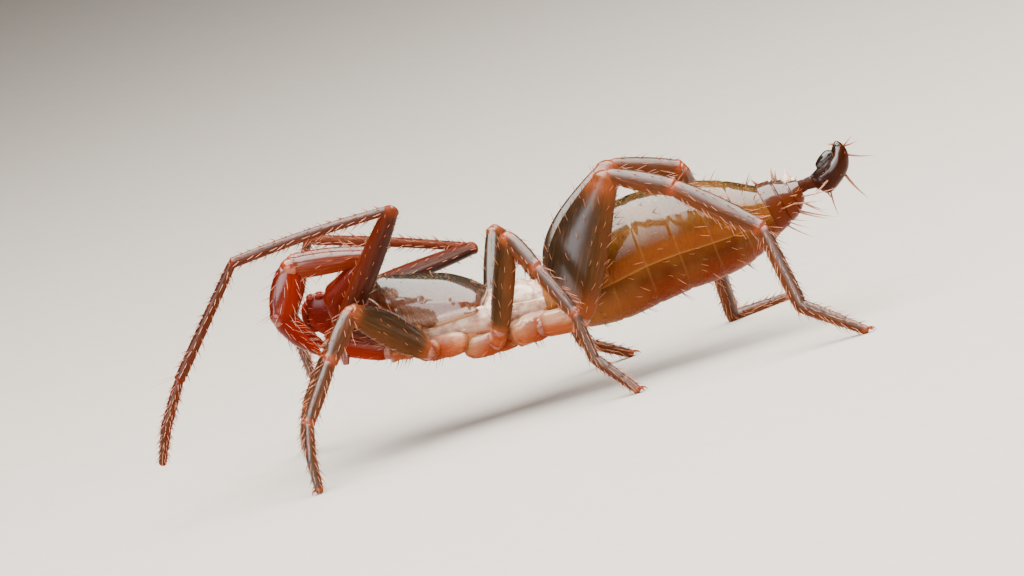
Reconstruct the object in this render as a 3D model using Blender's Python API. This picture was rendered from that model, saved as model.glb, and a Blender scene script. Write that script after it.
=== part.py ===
"""Shoshone cave whip-scorpion, an adult male, life size, standing with its feelers raised.

The animal faces -X, its left side faces -Y and its six walking feet stand on Z = 0.
Every length below is in millimetres. A mesh is turned into metres when it is placed.
"""

import math
import random
from collections import namedtuple

import bmesh
import bpy
from mathutils import Vector

METRES_PER_MM = 0.001
# The space between the faces of two neighbouring pieces.
GAP = 0.008
# Points nearer than this become one, after a cut and after a union.
CUT_MERGE = 0.0015
UNION_MERGE = 0.0004
THICK_SIDES = 10
THIN_SIDES = 8
SEGMENT_STEPS = 5
# How far beyond its joint a segment's rounded end reaches, and how it shrinks there.
DOME = ((0.5, 0.9), (1.0, 0.55))
LAST_DOME_SHARE = 0.6
# A segment less deep than this above its middle line takes the thin count of sides.
SLENDER_BELOW = 0.09
SMOOTH_BELOW_ANGLE = 40
LEFT = -1
RIGHT = 1
SIDE_NAMES = {LEFT: "left", RIGHT: "right"}
SEED = 7

# The origin is on the floor, under the middle of the animal's whole span.
SPAN_MIDDLE = Vector((0.338, 0.444, 0.0))

# Finishes: linear colour and roughness of each kind of skin.
SHIELD_BROWN = ((0.20, 0.075, 0.02), 0.22)
MEMBRANE_PINK = ((0.62, 0.30, 0.17), 0.30)
ABDOMEN_AMBER = ((0.33, 0.13, 0.025), 0.25)
TAIL_BROWN = ((0.14, 0.035, 0.012), 0.20)
PALP_RED = ((0.34, 0.025, 0.006), 0.18)
JAW_RED = ((0.20, 0.012, 0.005), 0.18)
LEG_BROWN = ((0.22, 0.085, 0.045), 0.30)
FEELER_BROWN = ((0.26, 0.09, 0.05), 0.35)

# Prosoma, one row for each station along X: level of the shield's side edge, top of the
# shield, and half width.
ProsomaRow = namedtuple("ProsomaRow", "x edge top half_width")
SHIELD_ROWS = (
    ProsomaRow(-1.05, 1.535, 1.590, 0.035),
    ProsomaRow(-0.98, 1.440, 1.660, 0.120),
    ProsomaRow(-0.88, 1.285, 1.715, 0.215),
    ProsomaRow(-0.70, 1.150, 1.675, 0.300),
    ProsomaRow(-0.46, 1.110, 1.615, 0.350),
    ProsomaRow(-0.22, 1.120, 1.545, 0.365),
    ProsomaRow(-0.03, 1.145, 1.425, 0.355),
    ProsomaRow(0.08, 1.190, 1.325, 0.325),
    ProsomaRow(0.13, 1.225, 1.262, 0.290),
)
HIND_SHIELD_ROWS = (
    ProsomaRow(0.155, 1.100, 1.225, 0.250),
    ProsomaRow(0.30, 1.070, 1.262, 0.265),
    ProsomaRow(0.44, 1.050, 1.262, 0.265),
    ProsomaRow(0.592, 1.040, 1.205, 0.255),
)
COXA_ROWS = (
    ProsomaRow(-0.93, 1.270, 0.915, 0.190),
    ProsomaRow(-0.88, 1.250, 0.880, 0.225),
    ProsomaRow(-0.70, 1.140, 0.815, 0.285),
    ProsomaRow(-0.46, 1.100, 0.755, 0.330),
    ProsomaRow(-0.22, 1.110, 0.700, 0.345),
    ProsomaRow(0.00, 1.140, 0.665, 0.340),
    ProsomaRow(0.14, 1.092, 0.650, 0.330),
    ProsomaRow(0.30, 1.062, 0.645, 0.325),
    ProsomaRow(0.44, 1.042, 0.650, 0.315),
    ProsomaRow(0.592, 1.032, 0.665, 0.285),
)
ARCH_SIDES = 10
# Below 1 the arch is fuller at its shoulders than an oval.
ARCH_FULLNESS = 0.8

# Abdomen, tail rings, flagellum and jaws: a point on the back, a point on the belly, and
# the half width. The abdomen has a row at each border between two plates.
RingRow = namedtuple("RingRow", "top_x top_z belly_x belly_z half_width")
ABDOMEN_ROWS = (
    RingRow(0.605, 1.200, 0.605, 0.665, 0.280),
    RingRow(0.937, 1.441, 0.963, 0.611, 0.374),
    RingRow(1.287, 1.661, 1.353, 0.583, 0.439),
    RingRow(1.660, 1.763, 1.740, 0.633, 0.468),
    RingRow(2.010, 1.764, 2.090, 0.678, 0.469),
    RingRow(2.349, 1.727, 2.451, 0.703, 0.443),
    RingRow(2.678, 1.634, 2.802, 0.788, 0.381),
    RingRow(2.985, 1.485, 3.105, 0.965, 0.280),
)
TAIL_ROWS = (
    RingRow(2.995, 1.500, 3.115, 0.950, 0.268),
    RingRow(3.130, 1.500, 3.235, 1.030, 0.230),
    RingRow(3.270, 1.462, 3.350, 1.110, 0.188),
    RingRow(3.400, 1.435, 3.430, 1.230, 0.115),
)
FLAGELLUM_ROWS = (
    RingRow(3.414, 1.415, 3.442, 1.285, 0.048),
    RingRow(3.530, 1.425, 3.550, 1.290, 0.056),
    RingRow(3.615, 1.470, 3.670, 1.205, 0.112),
    RingRow(3.715, 1.530, 3.800, 1.265, 0.150),
    RingRow(3.800, 1.595, 3.925, 1.385, 0.135),
    RingRow(3.850, 1.665, 3.968, 1.520, 0.085),
    RingRow(3.890, 1.697, 3.950, 1.630, 0.035),
)
FLAGELLUM_LOBE_ROWS = (
    RingRow(3.605, 1.500, 3.650, 1.440, 0.022),
    RingRow(3.665, 1.572, 3.730, 1.480, 0.058),
    RingRow(3.750, 1.622, 3.800, 1.530, 0.058),
    RingRow(3.818, 1.614, 3.842, 1.565, 0.024),
)
JAW_ROWS = (
    RingRow(-0.940, 1.300, -0.940, 1.070, 0.070),
    RingRow(-1.090, 1.500, -1.100, 1.110, 0.078),
    RingRow(-1.280, 1.640, -1.320, 1.200, 0.080),
    RingRow(-1.470, 1.715, -1.540, 1.300, 0.078),
    RingRow(-1.590, 1.715, -1.640, 1.395, 0.068),
    RingRow(-1.660, 1.640, -1.680, 1.460, 0.040),
)
JAW_OFFSET = 0.092
# The movable finger of a jaw, from its hinge down to its point, and the knobs at its hinge.
JAW_FINGER = (
    Vector((-1.600, -0.092, 1.650)),
    Vector((-1.715, -0.092, 1.530)),
    Vector((-1.668, -0.092, 1.372)),
)
JAW_FINGER_RADII = (0.046, 0.034)
JAW_KNOBS = (Vector((-1.583, -0.100, 1.738)), Vector((-1.500, -0.100, 1.728)))
JAW_KNOB_RADIUS = 0.022

# A plated body starts each plate this much lower than the one before it ends.
PLATE_STEP = 0.016
PLATE_SHARES = (0.0, 0.12, 0.55, 0.97)
# The fold between back plate and belly plate: its angle below the middle, and its reach.
FOLD_ANGLE = -12
FOLD_REACH = 0.955
ABDOMEN_ANGLES = (66, 42, 20, 2, FOLD_ANGLE, -26, -46, -68)
TAIL_SIDES = 14
FLAGELLUM_SIDES = 12

TAIL_HORN_BASE = Vector((3.300, 0.0, 1.400))
TAIL_HORN_TIP = Vector((3.318, 0.0, 1.562))
TAIL_HORN_RADIUS = 0.072

# A limb segment: its length, and its half depth above, half depth below and half width,
# each at its base, its thickest place and its tip. The thickest place is at a share of the
# length, and the bow lifts the middle of the segment.
Shape = namedtuple("Shape", "length above below half_width peak bow", defaults=(0.5, 0.0))
# How a segment lies: compass angle from +X and rise, in degrees.
Lie = namedtuple("Lie", "turn rise")

# Half depth of the front of the palp's femur at even steps: slim, then a bulge, then tapering.
PALP_BULGE = (0.085, 0.090, 0.265, 0.215, 0.160, 0.095)
PALP_SHAPES = (
    ("trochanter", Shape(0.57, (0.130, 0.135, 0.125), (0.120, 0.140, 0.140), (0.085, 0.095, 0.082))),
    ("femur", Shape(0.93, (0.120, 0.130, 0.100), PALP_BULGE, (0.070, 0.088, 0.065), 0.5)),
    ("patella", Shape(0.80, (0.065, 0.112, 0.105), (0.065, 0.115, 0.120), (0.060, 0.085, 0.082))),
    ("tibia", Shape(0.54, (0.120, 0.152, 0.100), (0.125, 0.148, 0.110), (0.080, 0.090, 0.070))),
    ("tarsus", Shape(0.49, (0.080, 0.075, 0.035), (0.080, 0.078, 0.038), (0.062, 0.058, 0.025))),
)
FEELER_SHAPES = (
    ("trochanter", Shape(0.54, (0.090, 0.095, 0.100), (0.090, 0.095, 0.100), (0.070, 0.075, 0.072))),
    ("femur", Shape(1.42, (0.105, 0.125, 0.082), (0.100, 0.115, 0.078), (0.068, 0.078, 0.060))),
    ("patella", Shape(1.70, (0.048, 0.056, 0.058), (0.046, 0.054, 0.058), (0.044, 0.050, 0.050), bow=0.028)),
    ("tibia", Shape(1.28, (0.045, 0.054, 0.056), (0.045, 0.054, 0.056), (0.043, 0.050, 0.050))),
    ("tarsus", Shape(0.86, (0.045, 0.056, 0.040), (0.045, 0.056, 0.040), (0.042, 0.052, 0.038))),
)
LEG_2_SHAPES = (
    ("trochanter", Shape(0.14, (0.095, 0.100, 0.100), (0.095, 0.100, 0.100), (0.080, 0.085, 0.085))),
    ("femur", Shape(0.99, (0.120, 0.195, 0.100), (0.110, 0.155, 0.090), (0.085, 0.105, 0.075))),
    ("patella", Shape(0.56, (0.090, 0.110, 0.085), (0.085, 0.105, 0.080), (0.070, 0.080, 0.065))),
    ("tibia", Shape(0.67, (0.068, 0.078, 0.065), (0.068, 0.076, 0.065), (0.058, 0.064, 0.055))),
    ("tarsus", Shape(0.68, (0.055, 0.058, 0.045), (0.055, 0.055, 0.045), (0.050, 0.050, 0.042))),
)
LEG_3_SHAPES = (
    ("trochanter", Shape(0.17, (0.090, 0.095, 0.095), (0.090, 0.095, 0.095), (0.080, 0.085, 0.080))),
    ("femur", Shape(0.98, (0.105, 0.130, 0.095), (0.100, 0.125, 0.090), (0.080, 0.092, 0.075))),
    ("patella", Shape(0.45, (0.085, 0.098, 0.082), (0.080, 0.092, 0.078), (0.068, 0.075, 0.065))),
    ("tibia", Shape(0.60, (0.072, 0.084, 0.070), (0.070, 0.080, 0.068), (0.058, 0.064, 0.056))),
    ("tarsus", Shape(1.03, (0.060, 0.064, 0.045), (0.058, 0.058, 0.045), (0.052, 0.050, 0.042))),
)
LEG_4_SHAPES = (
    ("trochanter", Shape(0.43, (0.130, 0.140, 0.140), (0.120, 0.130, 0.130), (0.090, 0.100, 0.095))),
    ("femur", Shape(1.48, (0.170, 0.460, 0.125), (0.120, 0.160, 0.105), (0.100, 0.140, 0.085), 0.38)),
    ("patella", Shape(0.70, (0.074, 0.104, 0.095), (0.070, 0.098, 0.088), (0.070, 0.085, 0.072))),
    ("tibia", Shape(1.00, (0.090, 0.112, 0.080), (0.085, 0.104, 0.078), (0.070, 0.080, 0.066))),
    ("tarsus", Shape(1.57, (0.072, 0.080, 0.045), (0.070, 0.072, 0.045), (0.062, 0.060, 0.042))),
)
# The share of a tarsus that its first, upper piece takes.
UPPER_TARSUS = {"leg_1": 0.57, "leg_2": 0.50, "leg_3": 0.476, "leg_4": 0.56, "palp": 0.49}
# Near the bend of a tarsus the sections turn from one piece's way to the other's.
BEND_BLEND = 0.12

LIMB_SHAPES = {
    "palp": PALP_SHAPES,
    "leg_1": FEELER_SHAPES,
    "leg_2": LEG_2_SHAPES,
    "leg_3": LEG_3_SHAPES,
    "leg_4": LEG_4_SHAPES,
}
LIMB_COLOURS = {
    "palp": PALP_RED,
    "leg_1": FEELER_BROWN,
    "leg_2": LEG_BROWN,
    "leg_3": LEG_BROWN,
    "leg_4": LEG_BROWN,
}
# Where each limb leaves its coxa, for the left side. The right side mirrors it.
LIMB_ROOTS = {
    "palp": Vector((-0.990, -0.272, 1.010)),
    "leg_1": Vector((-0.900, -0.440, 1.090)),
    "leg_2": Vector((-0.540, -0.390, 0.905)),
    "leg_3": Vector((0.060, -0.395, 0.780)),
    "leg_4": Vector((0.545, -0.430, 0.810)),
}
# Places from a coxa's heart to its root, and how wide it is there against its radius.
COXA_SWELLS = ((-0.1, 0.8), (0.5, 1.05), (1.0, 1.0), (1.3, 0.9))
COXA_RADII = {"leg_1": 0.105, "leg_2": 0.110, "leg_3": 0.110, "leg_4": 0.145, "palp": 0.125}
# The middle of each coxa inside the body, for the left side.
COXA_HEARTS = {
    "palp": Vector((-0.700, -0.200, 0.980)),
    "leg_1": Vector((-0.620, -0.200, 1.000)),
    "leg_2": Vector((-0.380, -0.180, 0.880)),
    "leg_3": Vector((0.020, -0.180, 0.800)),
    "leg_4": Vector((0.330, -0.180, 0.820)),
}

# The pose, as the animal stands. A tarsus has two lies, for its upper and lower piece.
POSE = {
    ("palp", LEFT): (
        Lie(-179, 26), Lie(-8, 50), Lie(-175, 9),
        Lie(-167, -62), Lie(8, -61), Lie(0, -51),
    ),
    ("palp", RIGHT): (
        Lie(179, 24.5), Lie(8, 45.5), Lie(175, 8.5),
        Lie(167, -62), Lie(-8, -61), Lie(0, -51),
    ),
    ("leg_1", LEFT): (
        Lie(-172, 35), Lie(-36, 47), Lie(169, -3),
        Lie(180, -49), Lie(-162, -56), Lie(166, -67),
    ),
    ("leg_1", RIGHT): (
        Lie(168, 60), Lie(26, 1), Lie(169, 18),
        Lie(115, -41), Lie(89, -44), Lie(84, -70),
    ),
    ("leg_2", LEFT): (
        Lie(-126, 6), Lie(-145, 40), Lie(-143, -43),
        Lie(-147, -48), Lie(-119, -65), Lie(-117, -69),
    ),
    ("leg_2", RIGHT): (
        Lie(126, -1), Lie(136, 32), Lie(164, -49),
        Lie(155, -50), Lie(133, -61), Lie(96, -37),
    ),
    ("leg_3", LEFT): (
        Lie(-59, 43), Lie(-31, 66), Lie(-51, -50),
        Lie(-38, -60), Lie(-25, -83), Lie(-21, -42),
    ),
    ("leg_3", RIGHT): (
        Lie(70, 45), Lie(63, 54), Lie(34, -58),
        Lie(20, -65), Lie(57, -71), Lie(16, -27),
    ),
    ("leg_4", LEFT): (
        Lie(-26, 0), Lie(-18, 62), Lie(-23, -24),
        Lie(-29, -36), Lie(-65, -68), Lie(-13, -33),
    ),
    ("leg_4", RIGHT): (
        Lie(25, 0), Lie(35, 52), Lie(0, -20),
        Lie(77, -69), Lie(88, -62), Lie(29, -7),
    ),
}
WALKING_LEGS = ("leg_2", "leg_3", "leg_4")
SOLE_HEIGHT = 0.030

# A walking foot ends in two curved claws, a palp in one. Each is given by how far it
# reaches ahead of the tip and how far it spreads to the side.
CLAW_SPREAD = 0.034
CLAW_RADII = (0.018, 0.013)
CLAW_SIDES = 5
# Points along a claw: reach from the tarsus's tip, share of the spread, and level.
CLAW_COURSE = ((-0.02, 0.3, 0.036), (0.050, 1.0, 0.044), (0.090, 1.3, 0.010))
PALP_CLAW_REACHES = (-0.050, 0.045, 0.110)
PALP_CLAW_RADII = (0.030, 0.020)
# The blunt knob under the palp's trochanter, for the left side.
PALP_KNOB_BASE = Vector((-1.420, -0.300, 1.120))
PALP_KNOB_TIP = Vector((-1.440, -0.300, 0.990))
PALP_KNOB_RADII = (0.042, 0.026)

# Bristles are tapered and a little bent. They lean from upright towards the tip of a limb
# or the tail, in degrees.
BRISTLE_SIDES = 4
BRISTLE_RADIUS = 0.009
BRISTLE_MIDDLE = 0.68
BRISTLE_SINK = 0.034
BRISTLE_BEND = 0.10
LENGTH_SPREAD = 0.15
LEAN_SPREAD = 6.0

# Bristles of a limb segment: how many, from one share of its length to another, round the
# segment at each angle in turn, with 90 above and 270 below.
LimbBristles = namedtuple("LimbBristles", "count first last angles length lean")
UPPER_AND_LOWER = (90, 265, 60, 300, 110, 240)
LIMB_BRISTLES = {
    ("palp", "trochanter"): LimbBristles(5, 0.25, 0.80, (265, 280), 0.12, 15),
    ("palp", "femur"): LimbBristles(4, 0.30, 0.70, (255, 285), 0.11, 30),
    ("palp", "patella"): LimbBristles(6, 0.36, 0.84, (262, 90, 285), 0.11, 35),
    ("palp", "tibia"): LimbBristles(8, 0.15, 0.84, (90, 110, 262, 60), 0.14, 30),
    ("palp", "tarsus"): LimbBristles(7, 0.15, 0.78, (262, 95, 282, 75), 0.11, 35),
    ("leg_1", "femur"): LimbBristles(6, 0.15, 0.78, UPPER_AND_LOWER, 0.08, 50),
    ("leg_1", "patella"): LimbBristles(13, 0.12, 0.95, UPPER_AND_LOWER, 0.12, 55),
    ("leg_1", "tibia"): LimbBristles(11, 0.08, 0.94, UPPER_AND_LOWER, 0.13, 50),
    ("leg_1", "tarsus"): LimbBristles(11, 0.08, 0.96, UPPER_AND_LOWER, 0.09, 50),
    ("leg_2", "femur"): LimbBristles(4, 0.30, 0.80, (90, 262, 100), 0.09, 45),
    ("leg_2", "patella"): LimbBristles(4, 0.25, 0.88, UPPER_AND_LOWER, 0.10, 45),
    ("leg_2", "tibia"): LimbBristles(5, 0.15, 0.90, UPPER_AND_LOWER, 0.10, 50),
    ("leg_2", "tarsus"): LimbBristles(5, 0.12, 0.80, UPPER_AND_LOWER, 0.08, 55),
    ("leg_3", "femur"): LimbBristles(4, 0.25, 0.76, (90, 262, 80), 0.09, 45),
    ("leg_3", "patella"): LimbBristles(3, 0.34, 0.88, UPPER_AND_LOWER, 0.10, 45),
    ("leg_3", "tibia"): LimbBristles(5, 0.15, 0.90, UPPER_AND_LOWER, 0.10, 50),
    ("leg_3", "tarsus"): LimbBristles(7, 0.10, 0.82, UPPER_AND_LOWER, 0.08, 55),
    ("leg_4", "femur"): LimbBristles(7, 0.25, 0.84, (90, 262, 75), 0.10, 45),
    ("leg_4", "patella"): LimbBristles(5, 0.20, 0.90, UPPER_AND_LOWER, 0.10, 45),
    ("leg_4", "tibia"): LimbBristles(7, 0.12, 0.92, UPPER_AND_LOWER, 0.11, 50),
    ("leg_4", "tarsus"): LimbBristles(9, 0.08, 0.84, UPPER_AND_LOWER, 0.09, 55),
}

# Bristles of the body: the place counted in rows, the angle round the section with 0 on
# the right side and 90 above, length, lean and root radius.
BodyBristle = namedtuple("BodyBristle", "place angle length lean radius", defaults=(BRISTLE_RADIUS,))
PLATE_BRISTLE_PLACE = 0.62
PLATE_BRISTLE_ANGLES = (72, 36, -30, -68)
PLATE_BRISTLE_LENGTH = 0.13
PLATE_BRISTLE_LEAN = 40
TAIL_BRISTLES = (
    BodyBristle(0.35, 97, 0.09, -25, 0.013),
    BodyBristle(1.30, 82, 0.19, 8, 0.018),
    BodyBristle(1.45, 100, 0.15, 15, 0.013),
    BodyBristle(0.80, 190, 0.16, 45),
    BodyBristle(0.80, -10, 0.16, 45),
    BodyBristle(0.80, 232, 0.28, 36),
    BodyBristle(0.80, -52, 0.28, 36),
    BodyBristle(1.80, 198, 0.34, 50),
    BodyBristle(1.80, -18, 0.34, 50),
    BodyBristle(1.80, 240, 0.38, 32),
    BodyBristle(1.80, -60, 0.38, 32),
    BodyBristle(2.60, 205, 0.32, 48),
    BodyBristle(2.60, -25, 0.32, 48),
    BodyBristle(2.55, 255, 0.30, 24),
    BodyBristle(2.55, -75, 0.30, 24),
)
FLAGELLUM_BRISTLES = (
    BodyBristle(1.95, 270, 0.09, 0),
    BodyBristle(2.20, 270, 0.26, -15),
    BodyBristle(2.40, 185, 0.33, -52),
    BodyBristle(2.40, -5, 0.33, -52),
    BodyBristle(3.60, 270, 0.31, -12),
    BodyBristle(4.95, 270, 0.32, 24),
    BodyBristle(5.05, 95, 0.09, -25, 0.012),
    BodyBristle(5.70, 225, 0.16, 34),
    BodyBristle(5.70, -70, 0.21, 30),
)
# Bristles of the shield, with the angle from the right edge over the top.
SHIELD_BRISTLES = (
    BodyBristle(0.60, 90, 0.08, -55),
    BodyBristle(0.90, 60, 0.08, -45),
    BodyBristle(0.90, 120, 0.08, -45),
    BodyBristle(2.50, 70, 0.06, -30),
    BodyBristle(2.50, 110, 0.06, -30),
    BodyBristle(4.40, 70, 0.06, -20),
    BodyBristle(4.40, 110, 0.06, -20),
    BodyBristle(6.20, 65, 0.06, 30),
    BodyBristle(6.20, 115, 0.06, 30),
)


def clear_scene():
    for old in list(bpy.data.objects):
        bpy.data.objects.remove(old, do_unlink=True)


def direction(lie):
    turn = math.radians(lie.turn)
    rise = math.radians(lie.rise)
    flat = math.cos(rise)
    return Vector((flat * math.cos(turn), flat * math.sin(turn), math.sin(rise)))


def mirrored(point, side):
    """Take a point given for the left side to a side."""
    return Vector((point.x, -side * point.y, point.z))


def curve_value(values, share):
    """Read a smooth curve through base, middle and tip values at a share of the length.

    A longer list of values, at even steps, is read in straight lines instead.
    """
    if len(values) > 3:
        index = min(int(share * (len(values) - 1)), len(values) - 2)
        step = share * (len(values) - 1) - index
        return values[index] + (values[index + 1] - values[index]) * step
    base, middle, tip = values
    bell = math.sin(math.pi * share)
    straight = base + (tip - base) * share
    return straight + (middle - (base + tip) / 2) * bell


def row_at(rows, place):
    """Read a smooth curve through rows: place 2.5 is half way from row 2 to row 3."""
    index = min(int(place), len(rows) - 2)
    before = rows[max(index - 1, 0)]
    start = rows[index]
    end = rows[index + 1]
    after = rows[min(index + 2, len(rows) - 1)]
    t = place - index
    square = t * t
    cube = square * t
    values = []
    for a, b, c, d in zip(before, start, end, after):
        value = (2 * cube - 3 * square + 1) * b + (3 * square - 2 * cube) * c
        value += (cube - 2 * square + t) * (c - a) / 2 + (cube - square) * (d - b) / 2
        values.append(value)
    return type(start)(*values)


def between(rows, shares):
    """Rows at the given shares of each step from one row to the next, and the last row."""
    result = [row_at(rows, index + share) for index in range(len(rows) - 1) for share in shares]
    result.append(rows[-1])
    return result


def round_section(sides):
    """Angles in degrees and reaches of a plain section."""
    return [(360 * index / sides, 1.0) for index in range(sides)]


def folded_section():
    """The abdomen's section, with a fold along each side."""
    half = [(angle, FOLD_REACH if angle == FOLD_ANGLE else 1.0) for angle in ABDOMEN_ANGLES]
    other = [(180 - angle, reach) for angle, reach in half]
    return [(90, 1.0)] + other + [(270, 1.0)] + half[::-1]


def oval(centre, across, upward, half_width, above, below, section):
    """Points round a section that may be deeper on one side than on the other."""
    points = []
    for degrees, reach in section:
        angle = math.radians(degrees)
        rise = math.sin(angle)
        depth = above if rise > 0 else below
        away = across * half_width * math.cos(angle) + upward * depth * rise
        points.append(centre + away * reach)
    return points


def loft(rings):
    """Join rings of points into one closed mesh. A last ring of one point is an apex."""
    mesh = bmesh.new()
    loops = [[mesh.verts.new(point) for point in ring] for ring in rings]
    count = len(loops[0])
    for lower, upper in zip(loops, loops[1:]):
        for index in range(count):
            after = (index + 1) % count
            if len(upper) == 1:
                mesh.faces.new((lower[index], lower[after], upper[0]))
            else:
                mesh.faces.new((lower[index], lower[after], upper[after], upper[index]))
    mesh.faces.new(reversed(loops[0]))
    if len(loops[-1]) > 1:
        mesh.faces.new(loops[-1])
    bmesh.ops.recalc_face_normals(mesh, faces=mesh.faces)
    return mesh


def spike(points, radii, sides):
    """A closed spike along some points, the last of which is its sharp end."""
    rings = []
    across = (points[1] - points[0]).orthogonal()
    for start, end, radius in zip(points, points[1:], radii):
        away = (end - start).normalized()
        across = (across - away * across.dot(away)).normalized()
        upward = away.cross(across)
        rings.append(oval(start, across, upward, radius, radius, radius, round_section(sides)))
    rings.append([points[-1]])
    return loft(rings)


def knob(base, tip, radii, sides):
    """A closed blunt cone."""
    away = (tip - base).normalized()
    across = away.orthogonal().normalized()
    upward = away.cross(across)
    section = round_section(sides)
    rings = []
    for centre, radius in zip((base, tip), radii):
        rings.append(oval(centre, across, upward, radius, radius, radius, section))
    return loft(rings)


def trim(mesh, point, outward):
    """Cut away what lies beyond a plane, and close the cut."""
    everything = mesh.verts[:] + mesh.edges[:] + mesh.faces[:]
    bmesh.ops.bisect_plane(
        mesh, geom=everything, dist=0.0001, plane_co=point, plane_no=outward, clear_outer=True
    )
    rim = [edge for edge in mesh.edges if edge.is_boundary]
    if rim:
        bmesh.ops.holes_fill(mesh, edges=rim)
    bmesh.ops.remove_doubles(mesh, verts=mesh.verts, dist=CUT_MERGE)
    bmesh.ops.dissolve_degenerate(mesh, edges=mesh.edges, dist=CUT_MERGE / 2)
    bmesh.ops.recalc_face_normals(mesh, faces=mesh.faces)


def finish_material(name, finish):
    colour, roughness = finish
    material = bpy.data.materials.new(name + "_finish")
    material.use_nodes = True
    shader = material.node_tree.nodes["Principled BSDF"]
    shader.inputs["Base Color"].default_value = (*colour, 1.0)
    shader.inputs["Roughness"].default_value = roughness
    shader.inputs["Metallic"].default_value = 0.0
    material.diffuse_color = (*colour, 1.0)
    return material


def place(name, mesh, finish):
    """Make one node of a mesh that is in millimetres."""
    bmesh.ops.translate(mesh, verts=mesh.verts, vec=-SPAN_MIDDLE)
    bmesh.ops.scale(mesh, verts=mesh.verts, vec=Vector((METRES_PER_MM,) * 3))
    data = bpy.data.meshes.new(name)
    mesh.to_mesh(data)
    mesh.free()
    data.shade_smooth()
    data.set_sharp_from_angle(angle=math.radians(SMOOTH_BELOW_ANGLE))
    data.materials.append(finish_material(name, finish))
    node = bpy.data.objects.new(name, data)
    bpy.context.scene.collection.objects.link(node)


def loose_object(mesh, name):
    data = bpy.data.meshes.new(name)
    mesh.to_mesh(data)
    mesh.free()
    return bpy.data.objects.new(name, data)


def keep_largest_surface(mesh):
    """Delete all but the closed surface with the most points."""
    waiting = set(mesh.verts)
    groups = []
    while waiting:
        stack = [waiting.pop()]
        group = set(stack)
        while stack:
            vertex = stack.pop()
            for edge in vertex.link_edges:
                other = edge.other_vert(vertex)
                if other in waiting:
                    waiting.discard(other)
                    group.add(other)
                    stack.append(other)
        groups.append(group)
    keep = max(groups, key=len)
    scraps = [vertex for vertex in mesh.verts if vertex not in keep]
    bmesh.ops.delete(mesh, geom=scraps, context="VERTS")


def fuse(core, extras):
    """Union a core mesh with a collection of closed pieces and return one closed mesh."""
    if not extras:
        return core
    body = loose_object(core, "core")
    bpy.context.scene.collection.objects.link(body)
    pieces = bpy.data.collections.new("pieces")
    bpy.context.scene.collection.children.link(pieces)
    for extra in extras:
        pieces.objects.link(loose_object(extra, "piece"))
    union = body.modifiers.new("union", "BOOLEAN")
    union.operation = "UNION"
    union.operand_type = "COLLECTION"
    union.collection = pieces
    union.solver = "EXACT"
    graph = bpy.context.evaluated_depsgraph_get()
    result = bmesh.new()
    result.from_object(body, graph)
    for piece in list(pieces.objects):
        bpy.data.objects.remove(piece, do_unlink=True)
    bpy.data.collections.remove(pieces)
    bpy.data.objects.remove(body, do_unlink=True)
    bmesh.ops.triangulate(result, faces=result.faces)
    bmesh.ops.remove_doubles(result, verts=result.verts, dist=UNION_MERGE)
    bmesh.ops.dissolve_degenerate(result, edges=result.edges, dist=UNION_MERGE / 2)
    keep_largest_surface(result)
    bmesh.ops.recalc_face_normals(result, faces=result.faces)
    return result


def bristle(chance, point, outward, along, size):
    """One bristle, where size has its length, its lean and its root radius."""
    length = size.length * (1 + LENGTH_SPREAD * chance.uniform(-1, 1))
    lean = math.radians(size.lean + LEAN_SPREAD * chance.uniform(-1, 1))
    way = outward * math.cos(lean) + along * math.sin(lean)
    root = point - way * BRISTLE_SINK
    middle = point + way * (length / 2)
    tip = point + way * length + along * (length * BRISTLE_BEND)
    return spike((root, middle, tip), (size.radius, size.radius * BRISTLE_MIDDLE), BRISTLE_SIDES)


def arch_point(row, angle):
    rise = (row.top - row.edge) * math.sin(angle) ** ARCH_FULLNESS
    return Vector((row.x, row.half_width * math.cos(angle), row.edge + rise))


def arched_section(row):
    """Half an oval from the right edge over to the left one, closed by a flat."""
    return [arch_point(row, math.pi * index / ARCH_SIDES) for index in range(ARCH_SIDES + 1)]


def sternum_section(row):
    return arched_section(row._replace(edge=row.edge - GAP))


def coxa_mesh(name, side):
    """The part of a coxa that stands out of the body, cut where the limb begins."""
    root = mirrored(LIMB_ROOTS[name], side)
    inner = mirrored(COXA_HEARTS[name], side)
    away = (root - inner).normalized()
    across = away.orthogonal().normalized()
    upward = away.cross(across)
    rings = []
    for share, swell in COXA_SWELLS:
        centre = inner + (root - inner) * share
        size = COXA_RADII[name] * swell
        rings.append(oval(centre, across, upward, size, size, size, round_section(THICK_SIDES)))
    coxa = loft(rings)
    outward = root_normal(name, side)
    trim(coxa, root - outward * GAP / 2, outward)
    return coxa


def build_prosoma(chance):
    shield = loft([arched_section(row) for row in between(SHIELD_ROWS, (0.0, 0.5))])
    bristles = []
    for item in SHIELD_BRISTLES:
        angle = math.radians(item.angle)
        outward = Vector((0.0, math.cos(angle), math.sin(angle)))
        point = arch_point(row_at(SHIELD_ROWS, item.place), angle)
        bristles.append(bristle(chance, point, outward, Vector((1.0, 0.0, 0.0)), item))
    place("propeltidium", fuse(shield, bristles), SHIELD_BROWN)
    hind = loft([arched_section(row) for row in between(HIND_SHIELD_ROWS, (0.0, 0.5))])
    place("metapeltidium", hind, MEMBRANE_PINK)
    lower = loft([sternum_section(row) for row in COXA_ROWS])
    coxae = [coxa_mesh(name, side) for name in COXA_HEARTS for side in (LEFT, RIGHT)]
    place("coxosternum", fuse(lower, coxae), MEMBRANE_PINK)


def ring_frame(row):
    """Centre, upward direction and half depth of a ring."""
    top = Vector((row.top_x, 0.0, row.top_z))
    belly = Vector((row.belly_x, 0.0, row.belly_z))
    upward = (top - belly) / 2
    return (top + belly) / 2, upward.normalized(), upward.length


def ring_points(row, section):
    centre, upward, depth = ring_frame(row)
    across = Vector((0.0, 1.0, 0.0))
    return oval(centre, across, upward, row.half_width, depth, depth, section)


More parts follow.
